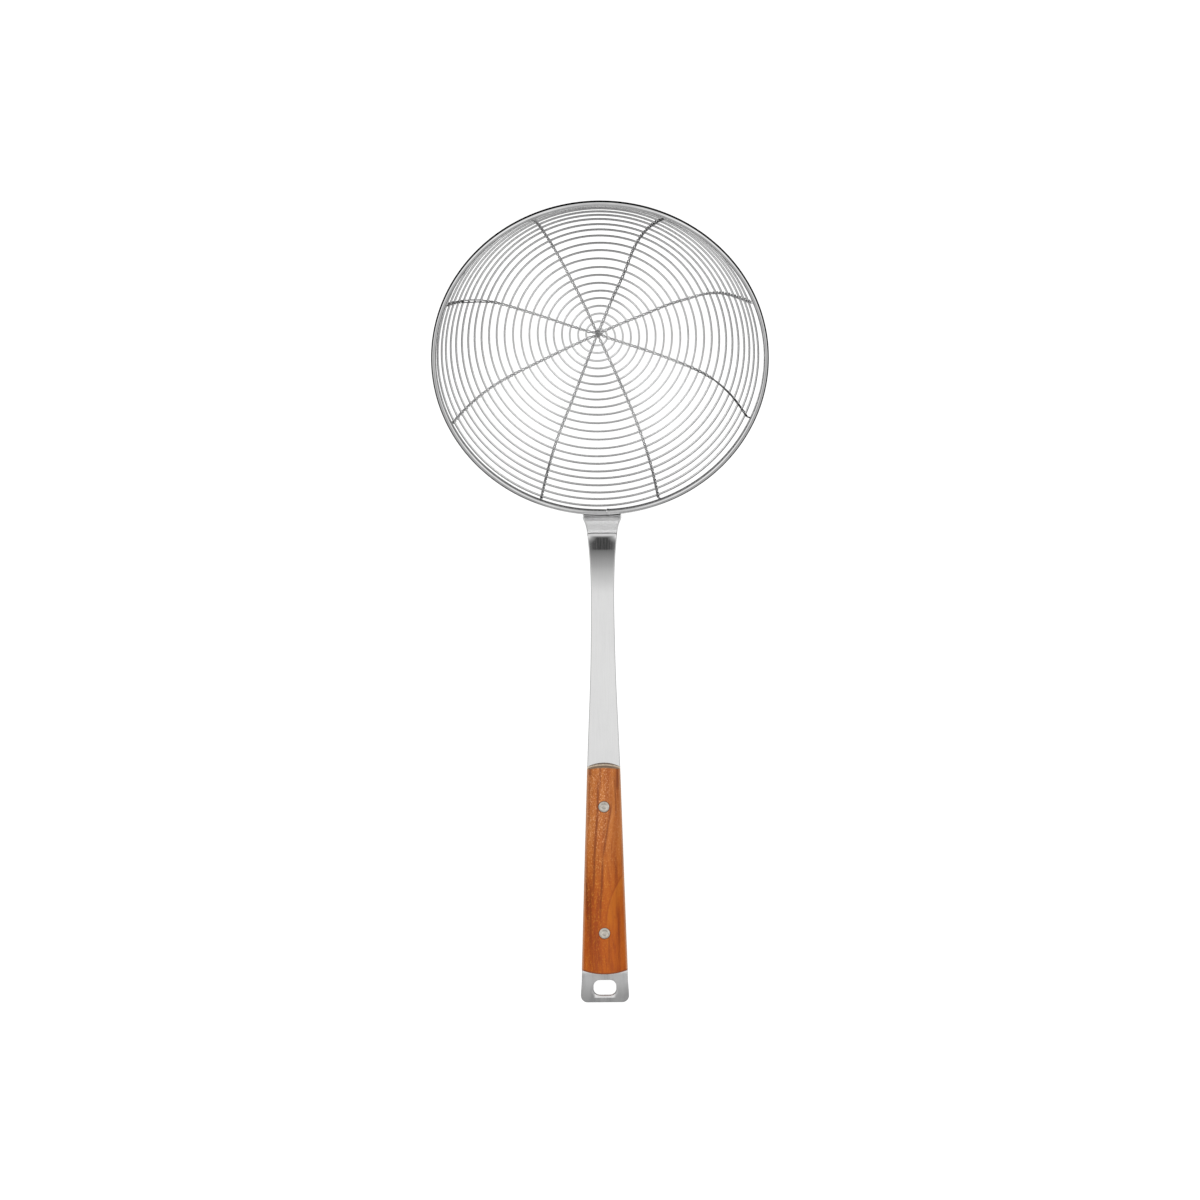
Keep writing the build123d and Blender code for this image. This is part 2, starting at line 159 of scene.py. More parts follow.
# ---------------------------------------------------------------------------
# Node helpers
# ---------------------------------------------------------------------------
class Mat:
    """small wrapper for building a node material"""

    def __init__(self, name):
        self.mat = bpy.data.materials.new(name)
        self.mat.use_nodes = True
        self.nt = self.mat.node_tree
        self.nt.nodes.clear()
        self.out = self.node("ShaderNodeOutputMaterial")
        self.bsdf = self.node("ShaderNodeBsdfPrincipled")
        self.link(self.bsdf.outputs[0], self.out.inputs[0])
        self.coord = self.node("ShaderNodeTexCoord").outputs["Object"]
        self.xyz = self.node("ShaderNodeSeparateXYZ")
        self.link(self.coord, self.xyz.inputs[0])

    def node(self, kind, **settings):
        n = self.nt.nodes.new(kind)
        for k, v in settings.items():
            setattr(n, k, v)
        return n

    def link(self, a, b):
        self.nt.links.new(a, b)

    def put(self, sock, v):
        if isinstance(v, bpy.types.NodeSocket):
            self.link(v, sock)
        else:
            sock.default_value = v

    def math(self, op, a, b=0.0, c=None, clamp=False):
        n = self.node("ShaderNodeMath", operation=op, use_clamp=clamp)
        self.put(n.inputs[0], a)
        self.put(n.inputs[1], b)
        if c is not None:
            self.put(n.inputs[2], c)
        return n.outputs[0]

    def span(self, v, a, b, lo=0.0, hi=1.0, smoothly=True):
        n = self.node("ShaderNodeMapRange", interpolation_type="SMOOTHSTEP" if smoothly else "LINEAR")
        self.put(n.inputs["Value"], v)
        n.inputs["From Min"].default_value = a
        n.inputs["From Max"].default_value = b
        n.inputs["To Min"].default_value = lo
        n.inputs["To Max"].default_value = hi
        return n.outputs[0]

    def scaled(self, sx, sy, sz, shift=(0, 0, 0), vec=None):
        n = self.node("ShaderNodeMapping")
        self.put(n.inputs["Vector"], vec if vec is not None else self.coord)
        n.inputs["Scale"].default_value = (sx, sy, sz)
        n.inputs["Location"].default_value = shift
        return n.outputs[0]

    def noise(self, vec, scale=1.0, detail=2.0, rough=0.5, distort=0.0):
        n = self.node("ShaderNodeTexNoise")
        self.put(n.inputs["Vector"], vec)
        n.inputs["Scale"].default_value = scale
        n.inputs["Detail"].default_value = detail
        n.inputs["Roughness"].default_value = rough
        n.inputs["Distortion"].default_value = distort
        return n.outputs["Fac"]

    def ramp(self, fac, stops, mode="LINEAR"):
        n = self.node("ShaderNodeValToRGB")
        n.color_ramp.interpolation = mode
        el = n.color_ramp.elements
        while len(el) > len(stops) and len(el) > 1:
            el.remove(el[-1])
        for i, (p, c) in enumerate(stops):
            e = el[i] if i < len(el) else el.new(p)
            e.position = p
            e.color = (*c, 1.0) if len(c) == 3 else c
        self.put(n.inputs[0], fac)
        return n.outputs[0]

    def mix(self, fac, a, b, blend="MIX"):
        n = self.node("ShaderNodeMix", data_type="RGBA", blend_type=blend)
        self.put(n.inputs[0], fac)
        self.put(n.inputs[6], a if isinstance(a, bpy.types.NodeSocket) else (*a, 1.0))
        self.put(n.inputs[7], b if isinstance(b, bpy.types.NodeSocket) else (*b, 1.0))
        return n.outputs[2]

    def bump(self, height, strength, distance, normal=None):
        n = self.node("ShaderNodeBump")
        n.inputs["Strength"].default_value = strength
        n.inputs["Distance"].default_value = distance
        self.put(n.inputs["Height"], height)
        if normal is not None:
            self.put(n.inputs["Normal"], normal)
        return n.outputs[0]

    def set(self, **kw):
        for k, v in kw.items():
            self.put(self.bsdf.inputs[k.replace("_", " ")], v)


# ---------------------------------------------------------------------------
# Materials
# ---------------------------------------------------------------------------
def steel_rim():
    m = Mat("rim_steel_polished")
    cloud = m.noise(m.scaled(1, 1, 1), 90, 3, 0.55)
    fine = m.noise(m.scaled(1, 1, 1, (3, 1, 2)), 900, 2, 0.6)
    col = m.ramp(cloud, [(0.25, (0.66, 0.66, 0.665)), (0.7, (0.82, 0.82, 0.82))])
    # painted shade: the inner wall's lower edge, on the side near the grip, is painted near-black for the dark
    # reflection there
    dy_ = m.math("SUBTRACT", m.xyz.outputs["Y"], float(BASKET[1]) * MM)
    dz_ = m.math("SUBTRACT", m.xyz.outputs["Z"], float(BASKET[2]) * MM)
    height = m.math("ADD", m.math("MULTIPLY", dy_, -float(st)), m.math("MULTIPLY", dz_, float(ct)))
    by_ = m.math("ADD", m.math("MULTIPLY", dy_, float(ct)), m.math("MULTIPLY", dz_, float(st)))
    x_ = m.xyz.outputs["X"]
    rb_ = m.math("SQRT", m.math("ADD", m.math("MULTIPLY", x_, x_), m.math("MULTIPLY", by_, by_)))
    painted_shade_line = m.math("MULTIPLY", m.span(height, 0.0336, 0.0347, 0.8, 0.0), m.span(dy_, -0.050, -0.020, 1.0, 0.0))
    painted_shade_line = m.math("MULTIPLY", painted_shade_line, m.span(rb_, 0.0784, 0.0788, 1.0, 0.0))
    col = m.mix(painted_shade_line, col, (0.05, 0.05, 0.052))
    m.set(Base_Color=col, Metallic=1.0, Roughness=m.span(fine, 0.3, 0.75, 0.05, 0.11),
          Normal=m.bump(m.noise(m.scaled(1, 1, 1, (7, 0, 0)), 260, 2, 0.5), 0.12, 0.0002))
    return m.mat


def steel_wire(name, dark, light, rough, darker_lengths=False, painted_ring_shade=False):
    m = Mat(name)
    cloud = m.noise(m.scaled(1, 1, 1), 160, 3, 0.6)
    specks = m.noise(m.scaled(1, 1, 1, (5, 2, 9)), 1500, 2, 0.7)
    col = m.ramp(cloud, [(0.25, dark), (0.75, light)])
    col = m.mix(m.span(specks, 0.62, 0.8, 0, 0.45), col, tuple(0.55 * c for c in dark))
    if painted_ring_shade:
        # painted shade: the wire is painted darker far and near, where the wall is steep, and a little at the sides,
        # for the darker reflections of the rings there
        x, y = m.xyz.outputs["X"], m.xyz.outputs["Y"]
        fy_ = m.math("SUBTRACT", y, 0.1265)
        rr_ = m.math("SQRT", m.math("ADD", m.math("ADD", m.math("MULTIPLY", x, x), m.math("MULTIPLY", fy_, fy_)), 1e-8))
        heading = m.math("MULTIPLY", m.math("ADD", m.math("DIVIDE", fy_, rr_), 1.0), 0.5)
        shade = m.ramp(heading, [(0.0, (0.60,) * 3), (0.04, (0.74,) * 3), (0.10, (0.96,) * 3), (0.25, (1.0,) * 3),
                                 (0.42, (0.90,) * 3), (0.5, (0.86,) * 3), (0.58, (0.90,) * 3), (0.75, (1.0,) * 3),
                                 (0.86, (0.92,) * 3), (0.94, (0.70,) * 3), (1.0, (0.53,) * 3)])
        col = m.mix(m.span(rr_, 0.006, 0.020), col, m.mix(1.0, col, shade, "MULTIPLY"))
    if darker_lengths:
        # the outer lengths of three ribs are darker in colour than the rest
        x, y = m.xyz.outputs["X"], m.xyz.outputs["Y"]
        left = m.math("MULTIPLY", m.span(x, -0.054, -0.044, 1.0, 0.0), m.span(y, 0.116, 0.122))
        right = m.math("MULTIPLY", m.span(x, 0.030, 0.048), m.span(y, 0.110, 0.116, 1.0, 0.0))
        near = m.math("MULTIPLY", m.span(y, 0.064, 0.080, 1.0, 0.0), m.span(cloud, 0.40, 0.60, 0.2, 0.9))
        far = m.math("MULTIPLY", m.math("MULTIPLY", m.span(x, 0.003, 0.008), m.span(x, 0.036, 0.042, 1.0, 0.0)),
                     m.math("MULTIPLY", m.span(y, 0.134, 0.146), m.span(cloud, 0.35, 0.6, 0.35, 0.9)))
        darker_mask = m.math("ADD", m.math("ADD", m.math("ADD", left, right), far), near, clamp=True)
        col = m.mix(m.math("MULTIPLY", darker_mask, 0.85), col, tuple(0.30 * c for c in dark))
    m.set(Base_Color=col, Metallic=1.0, Roughness=m.span(specks, 0.3, 0.75, rough - 0.05, rough + 0.1),
          Normal=m.bump(specks, 0.2, 0.00012))
    return m.mat


def steel_bar():
    m = Mat("bar_steel_satin")
    y = m.xyz.outputs["Y"]
    # lines left by lengthwise polishing
    lines = m.noise(m.scaled(5200, 22, 600), 1.0, 3, 0.6)
    soft = m.noise(m.scaled(1, 1, 1), 55, 3, 0.5)
    smudge = m.noise(m.scaled(260, 70, 90, (2, 4, 1)), 1.0, 3, 0.6)
    # the bare tail is rougher than the strip above the grip, with random smudges, and its colour is painted darker as
    # painted shade, most of all at its end
    tail = m.span(y, -0.1785, -0.1760, 1.0, 0.0)
    col = m.ramp(soft, [(0.3, (0.675, 0.675, 0.675)), (0.7, (0.715, 0.715, 0.712))])
    col = m.mix(m.span(lines, 0.35, 0.7, 0.0, 0.22), col, (0.60, 0.60, 0.60))
    tail_wear_and_shade = m.mix(m.span(smudge, 0.40, 0.72), (0.62, 0.62, 0.62), (0.48, 0.48, 0.485))
    # painted shade: towards the tail's end the colour fades further to black
    tail_wear_and_shade = m.mix(m.span(y, -0.1895, -0.1795, 0.30, 0.0), tail_wear_and_shade, (0.0, 0.0, 0.0))
    # the front of the slot's lower edge is paler than the tail around it
    pale_slot_edge = m.math("MULTIPLY", m.span(m.math("ABSOLUTE", m.xyz.outputs["X"]), 0.0040, 0.0056, 1.0, 0.0),
                    m.math("MULTIPLY", m.span(y, -0.18935, -0.18895), m.span(y, -0.1876, -0.1872, 1.0, 0.0)))
    tail_wear_and_shade = m.mix(pale_slot_edge, tail_wear_and_shade, (0.92, 0.92, 0.92))
    col = m.mix(tail, col, tail_wear_and_shade)
    # beyond the crest the polish is satin, and its colour is painted lighter there, a painted sheen
    satin_and_sheen = m.span(y, 0.0300, 0.0325)
    col = m.mix(satin_and_sheen, col, m.ramp(soft, [(0.3, (0.80, 0.80, 0.80)), (0.7, (0.84, 0.84, 0.84))]))
    # painted highlight: the tab, from near its top bend on, and a narrow band just past the crest are painted
    # near-white
    col = m.mix(m.span(y, 0.0365, 0.0380), col, (0.97, 0.97, 0.97))
    bend_highlight = m.math("MULTIPLY", m.span(y, 0.0325, 0.0330), m.span(y, 0.0339, 0.0344, 1.0, 0.0))
    col = m.mix(bend_highlight, col, (0.97, 0.97, 0.97))
    rough = m.math("ADD", m.span(lines, 0.3, 0.75, 0.040, 0.075),
                   m.math("ADD", m.math("MULTIPLY", tail, 0.30), m.math("MULTIPLY", satin_and_sheen, 0.20)))
    rough = m.math("SUBTRACT", rough, m.math("MULTIPLY", m.span(y, 0.0120, 0.0240, 0.0, 0.035), m.math("SUBTRACT", 1.0, satin_and_sheen)))
    m.set(Base_Color=col, Metallic=1.0, Roughness=rough,
          Normal=m.bump(lines, 0.05, 0.00004))
    return m.mat


def wood():
    m = Mat("grip_wood_oiled")
    x, y, z = (m.xyz.outputs[k] for k in "XYZ")
    # the grain runs along the grip and wanders a little sideways
    drift = m.noise(m.scaled(6, 14, 6), 1.0, 2, 0.5)
    bend = m.math("MULTIPLY", m.math("SUBTRACT", drift, 0.5), 0.010)
    comb = m.node("ShaderNodeCombineXYZ")
    m.put(comb.inputs[0], m.math("ADD", x, bend))
    m.put(comb.inputs[1], y)
    m.put(comb.inputs[2], z)
    v = comb.outputs[0]
    broad = m.noise(m.scaled(330, 11, 200, (0.31, 0.2, 0.7), v), 1.0, 3, 0.55, 0.25)
    fibre = m.noise(m.scaled(1500, 45, 1200, (0.1, 0.5, 0.3), v), 1.0, 4, 0.65, 0.1)
    pores = m.noise(m.scaled(2600, 150, 2600, (0.7, 0.1, 0.9), v), 1.0, 2, 0.5)
    blotch = m.noise(m.scaled(150, 60, 110, (0.9, 0.4, 0.2)), 1.0, 3, 0.6, 0.4)
    base = m.ramp(broad, [(0.24, (0.260, 0.060, 0.008)), (0.40, (0.420, 0.115, 0.018)),
                          (0.55, (0.560, 0.185, 0.035)), (0.72, (0.620, 0.230, 0.060))])
    col = m.mix(m.span(fibre, 0.42, 0.75, 0.0, 0.50), base, (0.66, 0.27, 0.085))
    col = m.mix(m.span(blotch, 0.50, 0.78, 0.0, 0.40), col, (0.52, 0.135, 0.030))
    col = m.mix(m.span(pores, 0.60, 0.76, 0.0, 0.50), col, (0.17, 0.038, 0.008))
    # darker, redder towards the tail, where the hand holds it
    far = m.span(y, -0.150, -0.100, 1.0, 0.0)
    col = m.mix(far, col, (0.85, 0.62, 0.35), "MULTIPLY")
    # pale flecks near the upper end, mostly on the left
    fleck = m.noise(m.scaled(1, 0.6, 1, (0.3, 0.8, 0.1)), 1900, 1.5, 0.6)
    where = m.math("MULTIPLY", m.span(y, -0.165, -0.085, 0.25, 0.9), m.span(x, -0.001, 0.005, 1.0, 0.30))
    col = m.mix(m.math("MULTIPLY", m.span(fleck, 0.56, 0.68, 0.0, 0.80), where), col, (0.95, 0.52, 0.26))
    col = m.mix(m.math("MULTIPLY", m.span(fleck, 0.44, 0.34, 0.0, 0.60), where), col, (0.30, 0.070, 0.012))
    # a paler flame of grain on the right, with a thin dark edge
    up_ = m.math("DIVIDE", m.math("ADD", y, 0.1541), 0.0244)
    curve = m.math("ADD", m.math("MULTIPLY", m.math("MULTIPLY", up_, m.math("ABSOLUTE", up_)), 0.0083), 0.00105)
    aside = m.math("SUBTRACT", m.math("ADD", x, m.math("MULTIPLY", bend, 0.2)), curve)
    reach_ = m.math("MULTIPLY", m.span(y, -0.1600, -0.1500), m.span(y, -0.1310, -0.1260, 1.0, 0.0))
    flame = m.math("MULTIPLY", m.math("MULTIPLY", m.span(aside, 0.0, 0.0009), reach_), m.span(aside, 0.002, 0.0060, 0.36, 0.04))
    col = m.mix(flame, col, (0.64, 0.235, 0.040))
    rim_f = m.math("MULTIPLY", m.math("MULTIPLY", m.span(m.math("ABSOLUTE", aside), 0.0, 0.00065, 1.0, 0.0), reach_), 0.45)
    col = m.mix(rim_f, col, (0.30, 0.065, 0.010))
    # long dark streaks
    for x0, slope, y_mid, width, reach, dark in STREAKS:
        line = m.math("SUBTRACT", m.math("ADD", x, m.math("MULTIPLY", bend, 0.35)),
                      m.math("ADD", m.math("MULTIPLY", m.math("SUBTRACT", y, y_mid), slope), x0))
        near = m.span(m.math("ABSOLUTE", line), 0.0, width, 1.0, 0.0)
        along = m.span(m.math("ABSOLUTE", m.math("SUBTRACT", y, y_mid)), reach * 0.55, reach, 1.0, 0.0)
        f = m.math("MULTIPLY", m.math("MULTIPLY", near, along),
                   m.span(fibre, 0.25, 0.6, 0.45 * dark, dark))
        col = m.mix(f, col, (0.22, 0.046, 0.010))
    col = m.mix(1.0, col, m.mix(far, (0.62, 0.58, 0.57), (0.625, 0.52, 0.10)), "MULTIPLY")
    # paler wood along the long side edges
    off = m.math("SUBTRACT", x, m.math("ADD", m.math("MULTIPLY", m.math("ADD", y, 0.130), 0.002), 0.0002))
    side = m.math("SUBTRACT", m.math("ABSOLUTE", off),
                  m.math("SUBTRACT", 0.01135, m.math("MULTIPLY", m.math("ADD", y, 0.1912), 0.0317)))
    col = m.mix(m.span(side, -0.0010, -0.0003, 0.0, 0.75), col,
                m.mix(fibre, (0.38, 0.165, 0.070), (0.50, 0.25, 0.12)))
    # along the grip: sawn end grain at the upper end, dark, and painted pale cream toward the bar as a painted
    # highlight that also makes up for the light the end face misses; a dark line at the lower, painted shade
    v_ = m.math("ADD", m.math("MULTIPLY", m.math("ADD", y, 0.191244), 0.991216),
                m.math("MULTIPLY", m.math("SUBTRACT", z, 0.00698), 0.132256))
    bow = m.math("MULTIPLY", m.math("MULTIPLY", off, off), 20.5)
    d_end = m.math("SUBTRACT", m.math("SUBTRACT", 0.1147, bow), v_)
    up_face = m.math("ADD", m.math("MULTIPLY", m.math("ADD", y, 0.191244), -0.132256),
                     m.math("MULTIPLY", m.math("SUBTRACT", z, 0.00698), 0.991216))
    # painted highlight: the end face is pale cream near the bar and turns to dark end grain higher up
    end_grain_and_highlight = m.mix(m.span(m.math("ABSOLUTE", up_face), 0.0018, 0.0056), m.mix(pores, (0.64, 0.51, 0.37), (0.80, 0.66, 0.50)),
                 m.mix(pores, (0.12, 0.074, 0.043), (0.21, 0.145, 0.095)))
    col = m.mix(m.span(d_end, 0.00035, 0.00075, 0.95, 0.0), col, end_grain_and_highlight)
    bow2 = m.math("MULTIPLY", m.math("MULTIPLY", off, off), 10.5)
    d_low = m.math("SUBTRACT", v_, m.math("ADD", 0.0146, bow2))
    # painted shade: a dark line along the lower end's edge
    col = m.mix(m.span(d_low, 0.00045, 0.00110, 0.80, 0.0), col, (0.17, 0.045, 0.012))
    tilt = m.math("ADD", m.math("MULTIPLY", fibre, 0.6), m.math("MULTIPLY", pores, 0.4))
    m.set(Base_Color=col, Roughness=m.span(fibre, 0.3, 0.7, 0.44, 0.58),
          Normal=m.bump(tilt, 0.25, 0.00016))
    m.bsdf.inputs["Specular IOR Level"].default_value = 0.2
    return m.mat


# x at the middle, slope dx/dy, y of the middle, half width, half length, strength (metres)
STREAKS = [
    (-0.00363, 0.0461, -0.1116, 0.0010, 0.034, 0.85),
    (0.00187, 0.1455, -0.1087, 0.0009, 0.016, 0.80),
    (-0.00096, 0.0592, -0.1364, 0.0009, 0.017, 0.80),
    (0.00920, 0.0, -0.1210, 0.0007, 0.009, 0.85),
    (-0.00700, 0.030, -0.0960, 0.0006, 0.014, 0.45),
    (0.00560, -0.030, -0.0920, 0.0007, 0.012, 0.55),
    (-0.00640, 0.018, -0.1500, 0.0007, 0.020, 0.50),
    (0.00220, 0.040, -0.1640, 0.0007, 0.012, 0.50),
    (0.00700, 0.012, -0.1600, 0.0008, 0.014, 0.45),
    (0.00680, 0.020, -0.0830, 0.0013, 0.008, 0.75),
    (-0.00650, 0.000, -0.0800, 0.0014, 0.004, 0.70),
    (-0.00150, 0.030, -0.0830, 0.0009, 0.008, 0.60),
]


def rivet():
    m = Mat("rivet_steel_ground")
    cloud = m.noise(m.scaled(1, 1, 1), 700, 3, 0.6)
    fine = m.noise(m.scaled(1, 1, 1, (1, 5, 2)), 3500, 2, 0.6)
    col = m.ramp(cloud, [(0.3, (0.50, 0.47, 0.42)), (0.62, (0.74, 0.69, 0.62))])
    col = m.mix(m.span(fine, 0.64, 0.78, 0, 0.5), col, (0.30, 0.27, 0.23))
    m.set(Base_Color=col, Metallic=1.0, Roughness=m.span(fine, 0.3, 0.7, 0.28, 0.42),
          Normal=m.bump(cloud, 0.25, 0.00015))
    return m.mat


MAT_RIM = steel_rim()
MAT_WIRE = steel_wire("spiral_steel_drawn", (0.87, 0.87, 0.875), (0.97, 0.97, 0.97), 0.20, False, True)
MAT_STRAND = steel_wire("strand_steel_drawn", (0.34, 0.34, 0.345), (0.62, 0.62, 0.62), 0.24, True)
MAT_HOOP = steel_wire("hoop_steel_drawn", (0.50, 0.50, 0.50), (0.62, 0.62, 0.62), 0.3)
MAT_BAR = steel_bar()
MAT_WOOD = wood()
MAT_RIVET = rivet()


# ---------------------------------------------------------------------------
# Mesh helpers
# ---------------------------------------------------------------------------
def mesh_object(name, verts, faces, mat, sharp=None, in_mm=True):
    me = bpy.data.meshes.new(name)
    v = np.asarray(verts, float) * (MM if in_mm else 1.0)
    me.from_pydata([tuple(p) for p in v], [], [tuple(int(i) for i in f) for f in faces])
    me.validate(verbose=False)
    me.update()
    bm = bmesh.new()
    bm.from_mesh(me)
    bmesh.ops.recalc_face_normals(bm, faces=bm.faces)
    bm.to_mesh(me)
    bm.free()
    for p in me.polygons:
        p.use_smooth = True
    if sharp is not None:
        me.set_sharp_from_angle(angle=radians(sharp))
    o = bpy.data.objects.new(name, me)
    bpy.context.scene.collection.objects.link(o)
    me.materials.append(mat)
    return o


def tube(points, radius, sides=10, cap=True):
    """closed round tube along dense points; returns verts, faces"""
    p = np.asarray(points, float)
    n = len(p)
    t = np.gradient(p, axis=0)
    t /= np.linalg.norm(t, axis=1)[:, None]
    r = np.broadcast_to(np.asarray(radius, float), (n,)).copy()
    up = np.array([0.0, 0.0, 1.0])
    if abs(t[0] @ up) > 0.9:
        up = np.array([1.0, 0.0, 0.0])
    u = up - t[0] * (t[0] @ up)
    u /= np.linalg.norm(u)
    frames = []
    for i in range(n):
        u = u - t[i] * (t[i] @ u)
        u /= np.linalg.norm(u)
        frames.append((u, np.cross(t[i], u)))
    rows = []
    ang = np.arange(sides) * 2 * pi / sides

    def ring(c, f, rad):
        return c + rad * (np.cos(ang)[:, None] * f[0] + np.sin(ang)[:, None] * f[1])

    if cap:
        rows.append(ring(p[0] - t[0] * r[0] * 0.30, frames[0], r[0] * 0.72))
    for i in range(n):
        rows.append(ring(p[i], frames[i], r[i]))
    if cap:
        rows.append(ring(p[-1] + t[-1] * r[-1] * 0.30, frames[-1], r[-1] * 0.72))
    verts = np.concatenate(rows)
    faces = []
    for i in range(len(rows) - 1):
        for j in range(sides):
            k = (j + 1) % sides
            faces.append((i * sides + j, i * sides + k, (i + 1) * sides + k, (i + 1) * sides + j))
    faces.append(tuple(range(sides - 1, -1, -1)))
    faces.append(tuple((len(rows) - 1) * sides + j for j in range(sides)))
    return verts, faces


def join(parts):
    verts, faces, at = [], [], 0
    for v, f in parts:
        verts.append(np.asarray(v, float))
        faces += [tuple(i + at for i in q) for q in f]
        at += len(v)
    return np.concatenate(verts), faces


def lathe(profile_pts, origin, axis, ref, turns=48):
    """closed solid of revolution; profile_pts are (radius, height) from one pole to the other"""
    axis, ref = np.asarray(axis, float), np.asarray(ref, float)
    side = np.cross(axis, ref)
    verts, faces, rows = [], [], []
    for r, h in profile_pts:
        if r < 1e-6:
            rows.append([len(verts)])
            verts.append(origin + axis * h)
        else:
            row = []
            for j in range(turns):
                a = 2 * pi * j / turns
                row.append(len(verts))
                verts.append(origin + axis * h + r * (cos(a) * ref + sin(a) * side))
            rows.append(row)
    for a, b in zip(rows[:-1], rows[1:]):
        for j in range(turns):
            k = (j + 1) % turns
            if len(a) == 1 and len(b) == 1:
                continue
            if len(a) == 1:
                faces.append((a[0], b[k], b[j]))
            elif len(b) == 1:
                faces.append((a[j], a[k], b[0]))
            else:
                faces.append((a[j], a[k], b[k], b[j]))
    return np.array(verts), faces


def piece(o, slot_name, *nodes):
    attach(o, "root")
    if nodes:
        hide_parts(*nodes)
    return o


# ---------------------------------------------------------------------------
# Spiral wire: one continuous winding, a little uneven, off centre in the
# middle and true at the rim
# ---------------------------------------------------------------------------
def spiral_xy(n):
    n = np.asarray(n, float)
    th = -2 * pi * n
    s = turn_s(n)
    wob = 0.13 * np.sin(2.0 * th + 0.9 * np.sin(n * 1.7)) * np.sin(n * 2.3 + 0.6) \
        + 0.09 * np.sin(3.0 * th + n * 0.8 + 1.0) + 0.07 * np.sin(n * 4.1)
    wob = wob * smooth(0.6, 3.0, n) * (1 - smooth(20.5, 22.3, n))
    s = s + wob
    rho = np.interp(s, TAB_S, TAB_P[:, 0])
    rho = rho * (1 - 0.010 * np.cos(2 * th) * (1 - smooth(12, 21, n)))
    return rho * np.cos(th), rho * np.sin(th)


N_START, N_END = 0.69, 22.61
ns = np.arange(N_START, N_END + 1e-6, 1 / 132.0)
sx, sy = spiral_xy(ns)
spiral_pts = to_world(out_of_true(on_dish(sx, sy)))
v, f = tube(spiral_pts, WIRE_D / 2, 12)
v[:, 2] = np.maximum(v[:, 2], 0.004)
spiral = piece(mesh_object("spiral_wire_wound", v, f, MAT_WIRE), "wire_steel", "spiral_wire")

# ---------------------------------------------------------------------------
# Ribs: eight legs of twisted strand pairs that meet in a knot. Each gap
# between two rings holds a twist, and the strands pass one above and one
# below every ring.
# ---------------------------------------------------------------------------
KNOT = np.array([-0.60, 0.63])
dense_n = np.arange(0.62, 22.61, 0.0015)
dense_x, dense_y = spiral_xy(dense_n)
dense_rho = np.hypot(dense_x, dense_y)
dense_phi = np.arctan2(dense_y, dense_x)


def leg_line(points):
    """smooth line in plan from the knot through the given points to the wall (mm)"""
    pts = np.array([tuple(KNOT)] + list(points))
    last = pts[-1] + (pts[-1] - pts[-2]) / np.linalg.norm(pts[-1] - pts[-2]) * 2.2
    pts = np.vstack([pts, last])
    u = np.r_[0, np.cumsum(np.linalg.norm(np.diff(pts, axis=0), axis=1))]
    fx, fy = spline(list(zip(u, pts[:, 0]))), spline(list(zip(u, pts[:, 1])))
    q = np.linspace(0, u[-1], 2400)
    return np.stack([[fx(v_) for v_ in q], [fy(v_) for v_ in q]], -1)


def leg_frame(points):
    """dense samples along a leg: plan position, and where it crosses the turns"""
    xy = leg_line(points)
    rho = np.hypot(xy[:, 0], xy[:, 1])
    k0 = int(np.argmax(rho > 1.6))
    rho_leg, phi_leg = rho[k0:], np.unwrap(np.arctan2(xy[k0:, 1], xy[k0:, 0]))
    want = np.interp(dense_rho, rho_leg, phi_leg)
    diff = (dense_phi - want + pi) % (2 * pi) - pi
    good = (np.abs(diff[:-1]) < 0.5) & (np.abs(diff[1:]) < 0.5) & (diff[:-1] * diff[1:] <= 0)
    idx = np.nonzero(good)[0]
    fr = diff[idx] / (diff[idx] - diff[idx + 1] + 1e-12)
    rho_x = dense_rho[idx] + fr * (dense_rho[idx + 1] - dense_rho[idx])
    s_x = np.sort(s_of_rho(rho_x))
    s_x = s_x[s_x > 1.9]
    return xy, s_x


